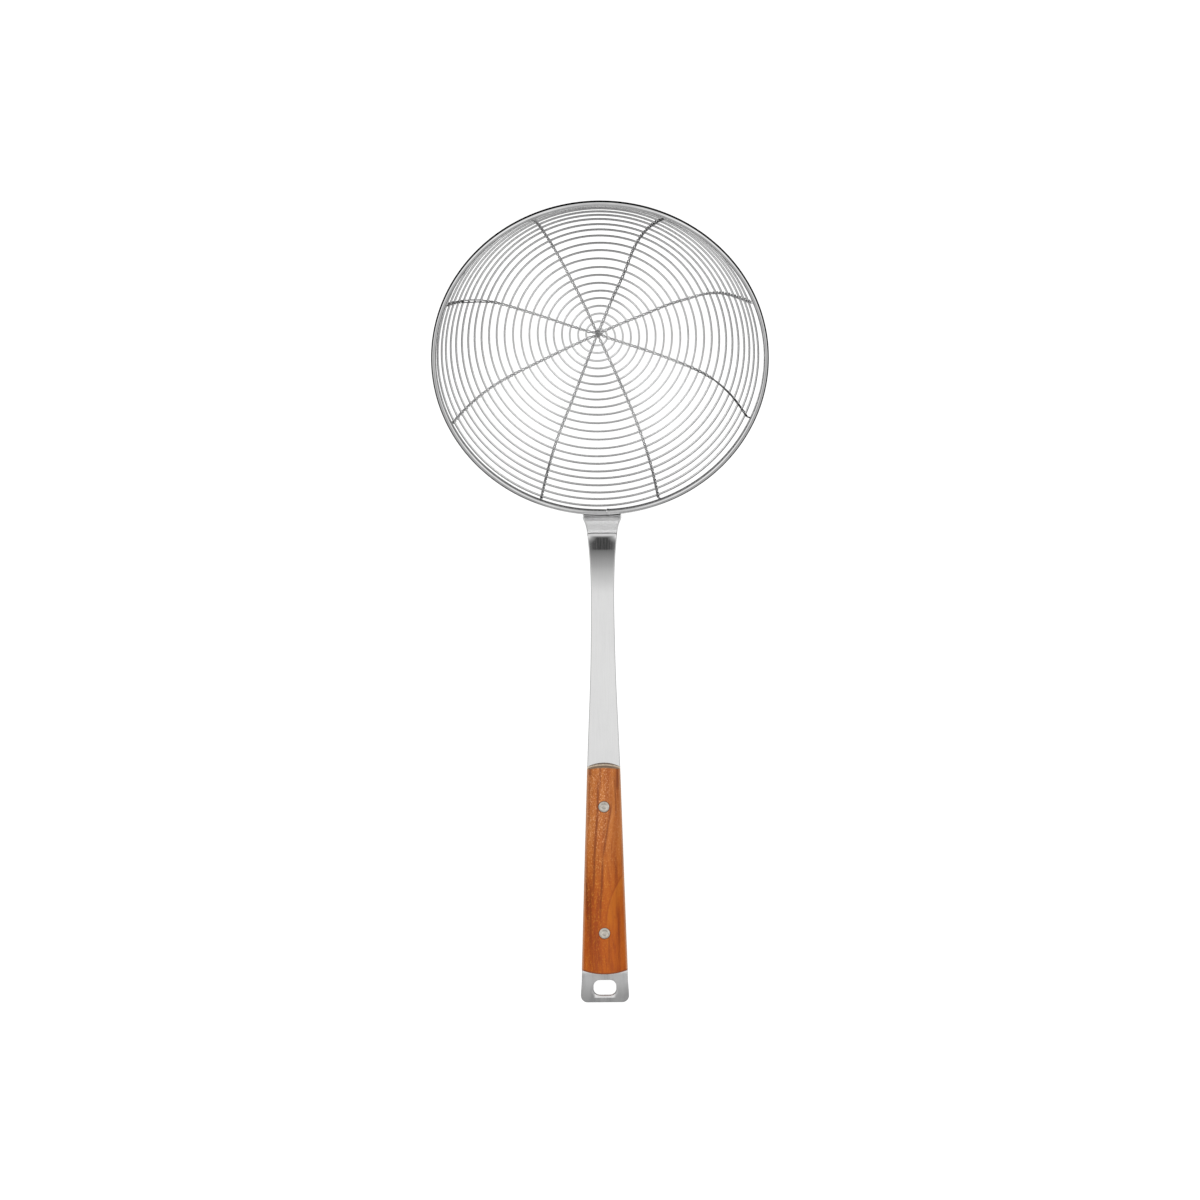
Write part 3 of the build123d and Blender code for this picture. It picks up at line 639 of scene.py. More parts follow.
def leg_strands(points, twist, level, ds=0.11, flat=None, phase=0.0, swell=1.0):
    """two strands of one leg from the knot out, in basket coordinates"""
    xy, cross = leg_frame(points)
    rho = np.hypot(xy[:, 0], xy[:, 1])
    # walked length on the dish, signed so that it starts at the knot
    p3 = on_dish(xy[:, 0], xy[:, 1])
    step = np.r_[0, np.linalg.norm(np.diff(p3, axis=0), axis=1)]
    walk = np.cumsum(step)
    s_leg = s_of_rho(rho)
    end = np.interp(FREE_S - 0.1, s_leg[600:], walk[600:])
    cross_w = np.interp(cross, s_leg[40:], walk[40:])
    w = np.arange(0.0, end, ds)
    x, y = np.interp(w, walk, xy[:, 0]), np.interp(w, walk, xy[:, 1])
    d = np.stack([np.gradient(x), np.gradient(y)], -1)
    d /= np.linalg.norm(d, axis=1)[:, None]
    lat = np.stack([-d[:, 1], d[:, 0]], -1)
    # gaps: knot to first ring, ring to ring, last ring to the end
    marks = np.r_[0.0, cross_w]
    if end - marks[-1] > 0.4:
        marks = np.r_[marks, end + 1.6]
    k = np.clip(np.searchsorted(marks, w, side="right") - 1, 0, len(marks) - 2)
    a, b = marks[k], marks[k + 1]
    t = (w - a) / (b - a)
    near = np.minimum(w - a, b - w)
    half = (b - a) / 2
    open_ = 0.5 * (1 + np.cos(pi * np.clip((near - 0.45) / np.maximum(half - 0.45, 0.3), 0, 1)))
    first = k == 0
    open_ = np.where(first, 0.5 * (1 + np.cos(pi * np.clip((b - w - 0.45) / 1.6, 0, 1))), open_)
    amp = LAY + (OFF - LAY) * open_
    count = np.full(len(marks) - 1, float(twist))
    if flat is not None:
        mid = (marks[:-1] + marks[1:]) / 2
        count[(mid > flat[0]) & (mid < flat[1])] = 0.0
    total = np.r_[0, np.cumsum(count)]
    ease = t - 0.35 * np.sin(2 * pi * t) / (2 * pi)
    psi = pi * (total[k] + count[k] * ease) + pi / 2
    if flat is not None:
        stay = (w > flat[0]) & (w < flat[1])
        keep = np.convolve(stay.astype(float), np.ones(15) / 15, "same")
        amp = amp * (1 - keep) + OFF * keep
        psi = psi * (1 - keep) + (psi - psi % pi + pi * 0.36) * keep
    amp = amp * (1 + 0.10 * np.sin(w * 0.83 + phase))
    amp = np.where(near < 0.5, np.maximum(amp, OFF - 0.02), amp)
    lift = level * (1 - smooth(1.0, 4.2, w))
    out = []
    for sgn in (1, -1):
        h = sgn * amp * np.sin(psi) + lift
        side = sgn * np.minimum(amp, LAY) * np.cos(psi) * swell * (1 + 0.12 * np.sin(w * 1.9 + 2.0 * phase))
        q = on_dish(x + side * lat[:, 0], y + side * lat[:, 1], h)
        out.append(q)
    # the inner strand is the one nearer the mouth at the end
    return out, d


def into_band(q):
    """bends a strand's outer end up into the folded rim"""
    r = np.hypot(q[-1, 0], q[-1, 1])
    u = q[-1, :2] / r
    middle = RIM_OUTER_R - RIM_WIDTH / 2
    inner = r < 77.75
    centre = middle + (-0.36 if inner else 0.36)
    z = q[-1, 2]
    stop = RIM_TOP_Z - 0.55
    path = []
    a = np.array([r, z])
    t0 = np.array([0.45, 0.9]) * (0.9 if inner else 1.3)
    b = np.array([centre, z + (1.55 if inner else 1.4)])
    for i in range(1, 15):
        t = i / 14.0
        h00, h10 = 2 * t**3 - 3 * t**2 + 1, t**3 - 2 * t**2 + t
        h01, h11 = -2 * t**3 + 3 * t**2, t**3 - t**2
        p = h00 * a + h10 * t0 + h01 * b + h11 * np.array([0, 1.0]) * 1.2
        path.append((p[0] * u[0], p[0] * u[1], p[1]))
    for zz in np.arange(b[1] + 0.3, stop, 0.3):
        path.append((centre * u[0], centre * u[1], zz))
    path.append((centre * u[0], centre * u[1], stop))
    # the basket's own shift hands over to the rim's shape
    path = np.array(path)
    lift = smooth(a[0], centre, np.hypot(path[:, 0], path[:, 1]))[:, None]
    lift[-1] = 1.0
    path = out_of_true(path) * (1 - lift) + rim_shape(path) * lift
    return np.concatenate([out_of_true(q), path])


LAY = 0.44          # half the spacing of a pair between two turns
# the legs in plan, in mm from the middle of the floor
LEGS = {
    24: [(10.3, 5.7), (21.6, 10.4), (32.6, 15.0), (43.4, 18.7), (53.9, 22.9), (61.0, 24.6), (67.0, 25.3), (72.9, 26.5)],
    68: [(2.4, 7.8), (6.4, 18.1), (12.7, 32.3), (16.7, 42.8), (19.5, 48.8), (24.4, 56.9), (29.6, 63.6), (33.6, 69.6)],
    115: [(-8.4, 19.1), (-16.4, 35.3), (-23.6, 49.5), (-28.9, 61.3), (-33.2, 70.0)],
    160: [(-12.2, 4.5), (-28.7, 10.5), (-42.9, 15.3), (-53.9, 19.3), (-63.0, 22.1), (-72.6, 26.0)],
    205: [(-16.7, -7.2), (-32.2, -15.1), (-45.4, -21.6), (-54.4, -25.8), (-63.0, -29.9), (-69.4, -32.9)],
    249: [(-7.6, -18.6), (-14.8, -38.0), (-20.4, -51.9), (-25.1, -64.0), (-28.1, -72.0)],
    292: [(5.2, -12.6), (13.7, -33.2), (20.4, -50.6), (25.0, -62.8), (27.9, -72.0)],
    338: [(11.9, -4.0), (25.6, -8.9), (40.4, -14.9), (53.6, -20.3), (62.6, -25.3), (70.8, -31.6)],
}
# pair letter: (first leg, second leg, height step in the knot)
RIBS = [("a", 24, 205, 1.05), ("b", 68, 249, 0.35), ("c", 115, 292, -0.35), ("d", 160, 338, -1.05)]
FLAT = {160: (58.0, 74.0), 338: (60.0, 91.0)}
SWELL = {68: 1.15, 160: 0.9}
for letter, a1, a2, level in RIBS:
    legs = []
    for ang in (a1, a2):
        pair, d = leg_strands(LEGS[ang], 2, level, flat=FLAT.get(ang), phase=ang, swell=SWELL.get(ang, 1.0))
        legs.append([into_band(q) for q in pair])
    for i, word in enumerate(("upper", "lower")):
        one, two = legs[0][i][::-1], legs[1][i]
        cut = 5
        gap_a, gap_b = one[-cut], two[cut - 1]
        ta = one[-cut] - one[-cut - 1]
        tb = two[cut] - two[cut - 1]
        ta, tb = ta / np.linalg.norm(ta), tb / np.linalg.norm(tb)
        span_ = np.linalg.norm(gap_b - gap_a)
        mid = []
        for t in np.linspace(0, 1, 9)[1:-1]:
            mid.append((2 * t**3 - 3 * t**2 + 1) * gap_a + (t**3 - 2 * t**2 + t) * ta * span_
                       + (-2 * t**3 + 3 * t**2) * gap_b + (t**3 - t**2) * tb * span_)
        route = np.concatenate([one[:-cut + 1] if cut > 1 else one, np.array(mid), two[cut - 1:]])
        v, f = tube(to_world(route), STRAND_D / 2 - 0.02, 8)
        v[:, 2] = np.maximum(v[:, 2], 0.006)
        node = "spoke_%s_%s_strand" % (letter, word)
        piece(mesh_object("spoke_%s_twisted_%s" % (letter, word), v, f, MAT_STRAND), "wire_steel", node)

# the binding wire round the knot: an S that hugs the crossing
tt = np.linspace(0, 1, 70)
ang = radians(115) - tt * 2 * pi * 1.55
rad = 1.15 + 0.25 * np.sin(tt * pi * 3.0)
kx = KNOT[0] + rad * np.cos(ang) * 0.8
ky = KNOT[1] + rad * np.sin(ang) * 1.15
kz = 1.75 - 3.4 * tt + 0.35 * np.sin(tt * 14)
v, f = tube(to_world(out_of_true(np.stack([kx, ky, kz], -1))), 0.27, 8)
piece(mesh_object("knot_binding_wire", v, f, MAT_STRAND), "wire_steel")

# ---------------------------------------------------------------------------
# Rim band: folded sheet, its two ends butted near the tab
# ---------------------------------------------------------------------------
rc, ro, ri = RIM_OUTER_R - RIM_WIDTH / 2, RIM_WIDTH / 2, RIM_WIDTH / 2 - RIM_SHEET
zb = RIM_TOP_Z - RIM_SKIRT
section = []
edge = RIM_SHEET / 2
for a in np.linspace(180, 0, 25):
    section.append((rc + ro * cos(radians(a)), RIM_TOP_Z + ro * sin(radians(a))))
for a in np.linspace(0, -180, 7):
    section.append((rc + ro - edge + edge * cos(radians(a)), zb + edge + edge * sin(radians(a))))
for a in np.linspace(0, 180, 17):
    section.append((rc + ri * cos(radians(a)), RIM_TOP_Z + ri * sin(radians(a))))
for a in np.linspace(0, -180, 7):
    section.append((rc - ro + edge + edge * cos(radians(a)), zb + edge + edge * sin(radians(a))))
clean = [section[0]]
for p in section[1:]:
    if hypot(p[0] - clean[-1][0], p[1] - clean[-1][1]) > 1e-4:
        clean.append(p)
if hypot(clean[0][0] - clean[-1][0], clean[0][1] - clean[-1][1]) < 1e-4:
    clean.pop()
section = np.array(clean)
JOINT = 270.0 + degrees(2.6 / rc)
GAP = degrees(0.10 / rc)
steps = np.concatenate([np.linspace(0, 6, 31)[:-1], np.linspace(6, 354, 349)[:-1], np.linspace(354, 360, 31)])
rows = []
for q in steps:
    real = JOINT + GAP / 2 + q * (360 - GAP) / 360
    a = radians(real)
    from_end = min(q, 360 - q) * rc * pi / 180
    r, z = section[:, 0].copy(), section[:, 1].copy()
    # the sheet is filed and a little dented beside the joint
    dent = 0.0
    if q < 180:
        dent = 0.20 * float(np.exp(-(from_end / 1.3) ** 2))
    else:
        dent = -0.12 * float(np.exp(-(from_end / 2.2) ** 2))
    inner = r < rc
    r = r - np.where(inner, dent, 0.0) * (1 - smooth(RIM_TOP_Z, RIM_TOP_Z + 1.4, z))
    r = rc + (r - rc) * (1 - 0.05 * np.exp(-(from_end / 0.4) ** 2))
    wav = 0.035 * sin(3 * a + 0.4) + 0.025 * sin(7 * a + 1.9)
    r = r + np.where(inner, wav, 0.0)
    rows.append(rim_shape(np.stack([r * cos(a), r * sin(a), z], -1)))
m_ = len(section)
v = np.concatenate(rows)
f = []
for i in range(len(rows) - 1):
    for j in range(m_):
        k = (j + 1) % m_
        f.append((i * m_ + j, (i + 1) * m_ + j, (i + 1) * m_ + k, i * m_ + k))
f.append(tuple(range(m_)))
f.append(tuple((len(rows) - 1) * m_ + j for j in range(m_ - 1, -1, -1)))
piece(mesh_object("rim_band_folded", to_world(v), f, MAT_RIM, sharp=50), "rim_steel", "rim_band")
# the bead of weld that closes the joint
bead = []
for t in np.linspace(0, 1, 14):
    a = radians(JOINT + 0.9)
    el = radians(20 + 125 * t)
    bead.append(((rc + (ro + 0.02) * cos(el)) * cos(a), (rc + (ro + 0.02) * cos(el)) * sin(a),
                 RIM_TOP_Z + (ro - 0.16) * sin(el)))
rad = 0.36 * np.sqrt(np.clip(np.sin(np.linspace(0.12, 1, 14) * pi * 0.97), 0.05, 1))
v, f = tube(to_world(rim_shape(np.array(bead))), rad, 10)
piece(mesh_object("rim_joint_weld", v, f, MAT_RIM), "rim_steel")
# the core wire, which follows the rim's shape
hoop_z = RIM_TOP_Z + ri - HOOP_D / 2 - 0.02
turn_ = np.radians(np.linspace(JOINT + 0.4, JOINT + 359.6, 541))
hoop = rim_shape(np.stack([rc * np.cos(turn_), rc * np.sin(turn_), np.full(len(turn_), hoop_z)], -1))
v, f = tube(to_world(hoop), HOOP_D / 2, 14)
piece(mesh_object("rim_hoop_wire_bent", v, f, MAT_HOOP), "wire_steel", "rim_hoop_wire")

# ---------------------------------------------------------------------------
# Handle bar: a flat plate with rounded edges and the hanging slot, bent along
# the same path as the CAD bar
# ---------------------------------------------------------------------------
tail_z = (SCALE_H + BAR_T / 2) * cg - SCALE_V0 * sg - 0.111
tail = np.array([TAIL_Y + Y_SHIFT, tail_z])
knee = np.array([KNEE_Y + Y_SHIFT, tail_z + (KNEE_Y - TAIL_Y) * tan(radians(GRIP_SLOPE))])
crest = np.array([CREST_Y + 0.75 + Y_SHIFT, knee[1]])


def yz(r, z):
    p = to_world(np.array([0.0, -r, z]))
    return np.array([p[1], p[2]])


tab_top, tab_low = yz(TAB_IN_R + BAR_T / 2, TAB_TOP_Z), yz(TAB_IN_R + BAR_T / 2, TAB_BOTTOM_Z)
corner = [tail, knee, crest, tab_top, tab_low]
radii = [0, 165.0, 1.35, 3.0, 0]
path = []          # (length, start point, start direction, turn radius signed or None)
at = corner[0]
for i in range(1, len(corner)):
    d_in = (corner[i] - corner[i - 1]) / np.linalg.norm(corner[i] - corner[i - 1])
    if i < len(corner) - 1:
        d_out = (corner[i + 1] - corner[i]) / np.linalg.norm(corner[i + 1] - corner[i])
        turn = atan2(d_in[0] * d_out[1] - d_in[1] * d_out[0], d_in @ d_out)
        cutoff = radii[i] * tan(abs(turn) / 2)
        stop = corner[i] - d_in * cutoff
        path.append((float((stop - at) @ d_in), at.copy(), d_in, None))
        path.append((abs(turn) * radii[i], stop.copy(), d_in, radii[i] * (1 if turn > 0 else -1)))
        at = corner[i] + d_out * cutoff
    else:
        path.append((float((corner[i] - at) @ d_in), at.copy(), d_in, None))
starts = np.cumsum([0] + [p[0] for p in path])
BAR_LEN = float(starts[-1])


def along_bar(s):
    """point, direction and front normal (y, z) at distance s from the tail"""
    s = min(max(s, 0.0), BAR_LEN)
    i = min(int(np.searchsorted(starts, s, side="right")) - 1, len(path) - 1)
    length, p0, d0, rad_ = path[i]
    u = s - starts[i]
    nrm = np.array([-d0[1], d0[0]])
    if rad_ is None:
        return p0 + d0 * u, d0, nrm
    a = u / rad_
    return (p0 + rad_ * (sin(a) * d0 + (1 - cos(a)) * nrm),
            cos(a) * d0 + sin(a) * nrm, -sin(a) * d0 + cos(a) * nrm)


def half_width(v_):
    return 11.35 - 0.0314 * v_


W_KNOTS = [(12.0 * cg, half_width(12)), (60.0 * cg, half_width(60)), (105.0 * cg, half_width(105)),
           (115.0, 7.72), (128.5, 7.20), (141.8, 6.62), (155.1, 6.12), (168.4, 5.78), (181.7, 5.55),
           (193.6, 5.45), (205.5, 5.72), (214.6, 6.25), (219.8, 6.70), (224.6, 7.15), (229.9, 8.35),
           (REST_Y - RIM_OUTER_R * ct - TAIL_Y, 9.2), (238.0, 9.2)]


width_at = spline(W_KNOTS)


def bar_half(s):
    if s < 8:
        return min(half_width(s), 11.44) + 0.21
    y_ = along_bar(s)[0][0] - (TAIL_Y + Y_SHIFT)
    return min(width_at(y_), 9.2) if y_ > 100 else width_at(y_)


R_EDGE = 0.38
right = []
R_C = 3.2
for a in np.linspace(-90, 0, 9):
    right.append((half_width(R_C) + 0.23 - R_C + R_C * cos(radians(a)), R_C + R_C * sin(radians(a))))
for s in list(np.arange(5.0, 120, 5.0)) + list(np.arange(120, BAR_LEN - 0.9, 1.0)):
    right.append((bar_half(s), s))
wl = bar_half(BAR_LEN)
for a in np.linspace(0, 90, 5):
    right.append((wl - 0.8 + 0.8 * cos(radians(a)), BAR_LEN - 0.8 + 0.8 * sin(radians(a))))
outer = np.array(right + [(-w_, s_) for w_, s_ in reversed(right)])
SLOT_W, SLOT_L, SLOT_R, SLOT_V = 10.9, 8.4, 3.0, 6.6
hole = []
for cx, cy, a0 in ((1, 1, 0), (-1, 1, 90), (-1, -1, 180), (1, -1, 270)):
    for a in np.linspace(a0, a0 + 90, 10):
        hole.append((cx * (SLOT_W / 2 - SLOT_R) + SLOT_R * cos(radians(a)),
                     SLOT_V + cy * (SLOT_L / 2 - SLOT_R) + SLOT_R * sin(radians(a))))
hole = np.array(hole)
# worn by its hook, the slot's lower edge slopes towards the front
hole_low = smooth(-0.35, 0.75, (SLOT_V - hole[:, 1]) / (SLOT_L / 2))
hole[:, 1] += 1.05 * hole_low


def outward(loop):
    d = np.roll(loop, -1, 0) - np.roll(loop, 1, 0)
    n_ = np.stack([d[:, 1], -d[:, 0]], -1)
    return n_ / np.linalg.norm(n_, axis=1)[:, None]


bm = bmesh.new()
STEPS = [90, 64, 38, 14]


def layers(loop, nrm, r_top, r_bot):
    """rings of vertices over the rounded edge, from the front face round to the back face"""
    rings = []
    n_ = len(loop)
    for up, rr in ((1, r_top), (-1, r_bot)):
        seq = STEPS if up == 1 else STEPS[::-1]
        for deg in seq:
            a = radians(deg)
            ring_ = []
            for i in range(n_):
                p = loop[i] - nrm[i] * rr[i] * (1 - cos(a))
                ring_.append(bm.verts.new((p[0], p[1], up * (BAR_T / 2 - rr[i] + rr[i] * sin(a)))))
            rings.append(ring_)
    for ra, rb in zip(rings[:-1], rings[1:]):
        for i in range(n_):
            k = (i + 1) % n_
            bm.faces.new((ra[i], rb[i], rb[k], ra[k]))
    return rings[0], rings[-1]


n_out = outward(outer)
r_out = np.full(len(outer), R_EDGE)
front_o, back_o = layers(outer, n_out, r_out, r_out)
n_hole = -outward(hole)          # points into the hole, away from the metal
# the slot's lower edge is broken wide on the front, where the hook wears it
r_front = 0.30 + 1.10 * hole_low
front_h, back_h = layers(hole, n_hole, r_front, np.full(len(hole), 0.30))
for loops in ((front_o, front_h), (back_o, back_h)):
    edges = []
    for lp in loops:
        for i in range(len(lp)):
            e = bm.edges.get((lp[i], lp[(i + 1) % len(lp)]))
            edges.append(e)
    bmesh.ops.triangle_fill(bm, use_beauty=True, use_dissolve=False, edges=edges)
cuts = [15.0, 40.0, 70.0, 100.0] + list(np.arange(120, starts[2] - 1, 4.0))
a_, b_ = starts[1], starts[2]
cuts += list(np.linspace(a_, b_, 40)) + list(np.linspace(starts[3], starts[4], 16)) \
    + list(np.linspace(starts[5], starts[6], 8)) + list(np.linspace(starts[2], starts[3], 14)[1:-1]) \
    + list(np.linspace(starts[4], starts[5], 8)[1:-1]) + list(np.linspace(starts[6], BAR_LEN, 9)[1:-1])
for s in sorted(set(round(float(c), 4) for c in cuts)):
    bmesh.ops.bisect_plane(bm, geom=bm.verts[:] + bm.edges[:] + bm.faces[:], dist=1e-5,
                           plane_co=(0, s, 0), plane_no=(0, 1, 0))
for c in (-6.1, -5.6, -5.0, -4.4, -3.8, -3.2, -2.4, -1.6, 0.0, 1.6, 2.4, 3.2, 3.8, 4.4, 5.0, 5.6, 6.1):
    zone = [g for g in bm.faces if g.calc_center_median().y > 175]
    geom = list({v_ for g in zone for v_ in g.verts}) + list({e for g in zone for e in g.edges}) + zone
    bmesh.ops.bisect_plane(bm, geom=geom, dist=1e-5, plane_co=(c, 0, 0), plane_no=(1, 0, 0))
bmesh.ops.remove_doubles(bm, verts=bm.verts, dist=1e-5)
bmesh.ops.recalc_face_normals(bm, faces=bm.faces)
bm.verts.ensure_lookup_table()
bm.normal_update()
flat_state = {}
for v_ in bm.verts:
    side = Vector((0, 0, 0))
    for g in v_.link_faces:
        if abs(g.normal.z) < 0.985:
            side += Vector((g.normal.x, g.normal.y, 0)).normalized() * g.calc_area() ** 0.5
    flat_state[v_.index] = (v_.co.copy(), side.normalized() if side.length > 1e-6 else Vector((0, 0, 0)))
flat_face = [abs(g.normal.z) > 0.985 for g in bm.faces]
me = bpy.data.meshes.new("handle_bar_strip")
bm.to_mesh(me)
bm.free()


def crown(w_, s_):
    """how far the strip's front falls away towards its edges near the crest, and its slope"""
    k_ = float(smooth(starts[1] - 4, starts[1] + 10, s_) * (1 - smooth(starts[4] + 0.5, starts[4] + 4, s_)))
    amp = k_ * (0.016 + 0.20 * float(np.exp(-(max(starts[3] - s_, 0.0) / 1.5) ** 2)))
    hw = bar_half(s_)
    q = abs(w_) / hw
    return amp * q**5, amp * 5 * q**4 / hw * (1 if w_ > 0 else -1)


co = np.empty((len(me.vertices), 3))
loop_n = []
frames_ = {}
for i, v_ in enumerate(me.vertices):
    c, side = flat_state[i]
    p, d_, n_ = along_bar(c.y)
    frames_[i] = (d_, n_)
    t_ = c.z
    if t_ > 0:
        t_ -= crown(c.x, c.y)[0]
    pos = np.array([c.x, p[0] + n_[0] * t_, p[1] + n_[1] * t_])
    # the tab's inner face is hollowed to the rim's radius
    q = pos - BASKET
    bx, by, bz = q[0], q @ EY, q @ EN
    if c.y > starts[5] and t_ > 0 and 28 < bz < 36.4:
        face = sqrt((RIM_OUTER_R + 0.02) ** 2 - bx * bx) * RIM_FLAT + RIM_BACK
        k_ = 1 - float(smooth(35.0, 36.4, bz))
        pos = BASKET + bx * EX + (by + (-face - by) * k_) * EY + bz * EN
    pos[0] += float(sway(pos[1]))
    co[i] = pos * MM
me.vertices.foreach_set("co", co.ravel())
me.update()
for g in me.polygons:
    g.use_smooth = True
    for li in g.loop_indices:
        vi = me.loops[li].vertex_index
        c, side = flat_state[vi]
        d_, n_ = frames_[vi]
        if flat_face[g.index]:
            up = 1 if c.z > 0 else -1
            nx = crown(c.x, c.y)[1] if up > 0 else 0.0
            nn = Vector((nx, n_[0] * up, n_[1] * up)).normalized()
        else:
            rr = R_EDGE
            if side.length < 0.5:
                up = 1 if c.z > 0 else -1
                nn = Vector((0, n_[0] * up, n_[1] * up))
            else:
                if hypot(c.x, c.y - SLOT_V) < 7.2 and c.y < 13 and abs(c.x) < 7:
                    low_ = float(smooth(-0.35, 0.50, (SLOT_V - c.y) / (SLOT_L / 2)))
                    rr = 0.30 + (1.10 * low_ if c.z > 0 else 0.0)
                lift = (abs(c.z) - (BAR_T / 2 - rr)) / rr
                sn = min(max(lift, 0.0), 1.0) * (1 if c.z > 0 else -1)
                if rr > 0.7 and lift > 0.3:
                    sn = max(sn, 0.87)
                cs = sqrt(max(1 - sn * sn, 0.0))
                nn = Vector((cs * side.x, cs * side.y * d_[0] + sn * n_[0], cs * side.y * d_[1] + sn * n_[1]))
                nn.normalize()
        loop_n.append(nn)
me.normals_split_custom_set(loop_n)
bar = bpy.data.objects.new("handle_bar_strip", me)
bpy.context.scene.collection.objects.link(bar)
me.materials.append(MAT_BAR)
piece(bar, "bar_steel", "handle_bar")

# ---------------------------------------------------------------------------
# Grip scales: crowned, with rounded outer edges and shallow arced ends
# ---------------------------------------------------------------------------
GRIP_Y, GRIP_N = np.array([0, cg, sg]), np.array([0, -sg, cg])
TAIL3 = np.array([0, tail[0], tail[1]])


def grip_point(w_, v_, h_):
    """w across, v along from the tail, h from the bar's mid plane"""
    w_, v_, h_ = (np.asarray(q, float)[..., None] for q in (w_, v_, h_))
    p_ = TAIL3 + w_ * EX + v_ * GRIP_Y + h_ * GRIP_N
    return p_ + sway(p_[..., 1:2]) * EX


def drop(d_, r_=SCALE_R):
    q = np.clip(r_ - d_, 0, r_)
    return r_ - np.sqrt(np.maximum(r_ * r_ - q * q, 0))


def scale_mesh(up):
    edge_d = [0.0, 0.03, 0.1, 0.22, 0.4, 0.65, 0.95, 1.5]
    mid_a = np.linspace(-1, 1, 13)[1:-1]
    end_d = [0.0, 0.03, 0.1, 0.22, 0.4, 0.65, 0.95, 1.6]
    vs = []
    stations = [("lo", d_) for d_ in end_d] + [("t", t) for t in np.linspace(0.035, 0.965, 34)] \
        + [("hi", d_) for d_ in end_d[::-1]]
    across = [("l", d_) for d_ in edge_d] + [("m", a) for a in mid_a * 0.80] + [("r", d_) for d_ in edge_d[::-1]]
    grid = np.zeros((len(stations), len(across), 3))
    for i, (ka, va) in enumerate(stations):
        for j, (kb, vb) in enumerate(across):
            # first guess of the width at this station, then the end arc at that width
            v_ = SCALE_V0 + 5 if ka == "lo" else (SCALE_V1 - 5 if ka == "hi" else SCALE_V0 + va * (SCALE_V1 - SCALE_V0))
            for _ in range(3):
                W = half_width(v_) + 0.10
                w_ = -W + vb if kb == "l" else (W - vb if kb == "r" else vb * W)
                lo_v = SCALE_V0 + SCALE_SAG * (w_ / half_width(SCALE_V0)) ** 2
                hi_v = SCALE_V1 - SCALE_SAG * (w_ / half_width(SCALE_V1)) ** 2
                v_ = lo_v + va if ka == "lo" else (hi_v - va if ka == "hi" else lo_v + va * (hi_v - lo_v))
            W = half_width(v_) + 0.10
            R = (W * W + (SCALE_H - SCALE_EDGE) ** 2) / (2 * (SCALE_H - SCALE_EDGE))
            top = SCALE_H - (R - sqrt(max(R * R - w_ * w_, 0)))
            d_side = W - abs(w_)
            d_end = min(v_ - lo_v, hi_v - v_)
            h_ = top - float(drop(d_side * 1.0)) - float(drop(d_end))
            grid[i, j] = (w_, v_, max(h_, 0.6))
    ni, nj = grid.shape[:2]
    flat = grid.reshape(-1, 3)
    h = BAR_T / 2 + flat[:, 2] + 0.004
    verts = grip_point(flat[:, 0], flat[:, 1], up * h)
    base = grip_point(flat[:, 0], flat[:, 1], up * np.full(len(flat), BAR_T / 2 + 0.004))
    faces = [(i * nj + j, i * nj + j + 1, (i + 1) * nj + j + 1, (i + 1) * nj + j)
             for i in range(ni - 1) for j in range(nj - 1)]
    rim_ = [j for j in range(nj)] + [i * nj + nj - 1 for i in range(1, ni)] \
        + [(ni - 1) * nj + j for j in range(nj - 2, -1, -1)] + [i * nj for i in range(ni - 2, 0, -1)]
    all_v = [verts, base[rim_]]
    off = len(verts)
    for k in range(len(rim_)):
        k2 = (k + 1) % len(rim_)
        faces.append((rim_[k], rim_[k2], off + k2, off + k))
    faces.append(tuple(off + k for k in range(len(rim_))))
    return np.concatenate(all_v), faces


def head_cutter(v_, up):
    """round seat for a rivet head, a hair wider than the head"""
    o_ = grip_point(0.0, v_, up * (BAR_T / 2 + SCALE_H + PROUD - HEAD_T - 0.05))
    pts = [(0, 0), (HEAD_R + 0.11, 0), (HEAD_R + 0.11, 4), (0, 4)]
    v, f = lathe(pts, o_, GRIP_N * up, EX, 40)
    c = mesh_object("seat_cutter", v, f, MAT_WOOD)
    return c


def build_scale(name, node, up):
    v, f = scale_mesh(up)
    o = mesh_object(name, v, f, MAT_WOOD)
    cutters = [head_cutter(v_, up) for v_ in RIVET_V]
    for c in cutters:
        mod = o.modifiers.new("seat", "BOOLEAN")
        mod.operation, mod.solver, mod.object = "DIFFERENCE", "EXACT", c
    dg = bpy.context.evaluated_depsgraph_get()
    new = bpy.data.meshes.new_from_object(o.evaluated_get(dg))
    o.modifiers.clear()
    o.data = new
    new.name = name
    for c in cutters:
        bpy.data.objects.remove(c)
    for g in new.polygons:
        g.use_smooth = True
    new.set_sharp_from_angle(angle=radians(38))
    return piece(o, "grip_wood", node)


build_scale("front_scale_wood", "front_scale", 1)
build_scale("back_scale_wood", "back_scale", -1)

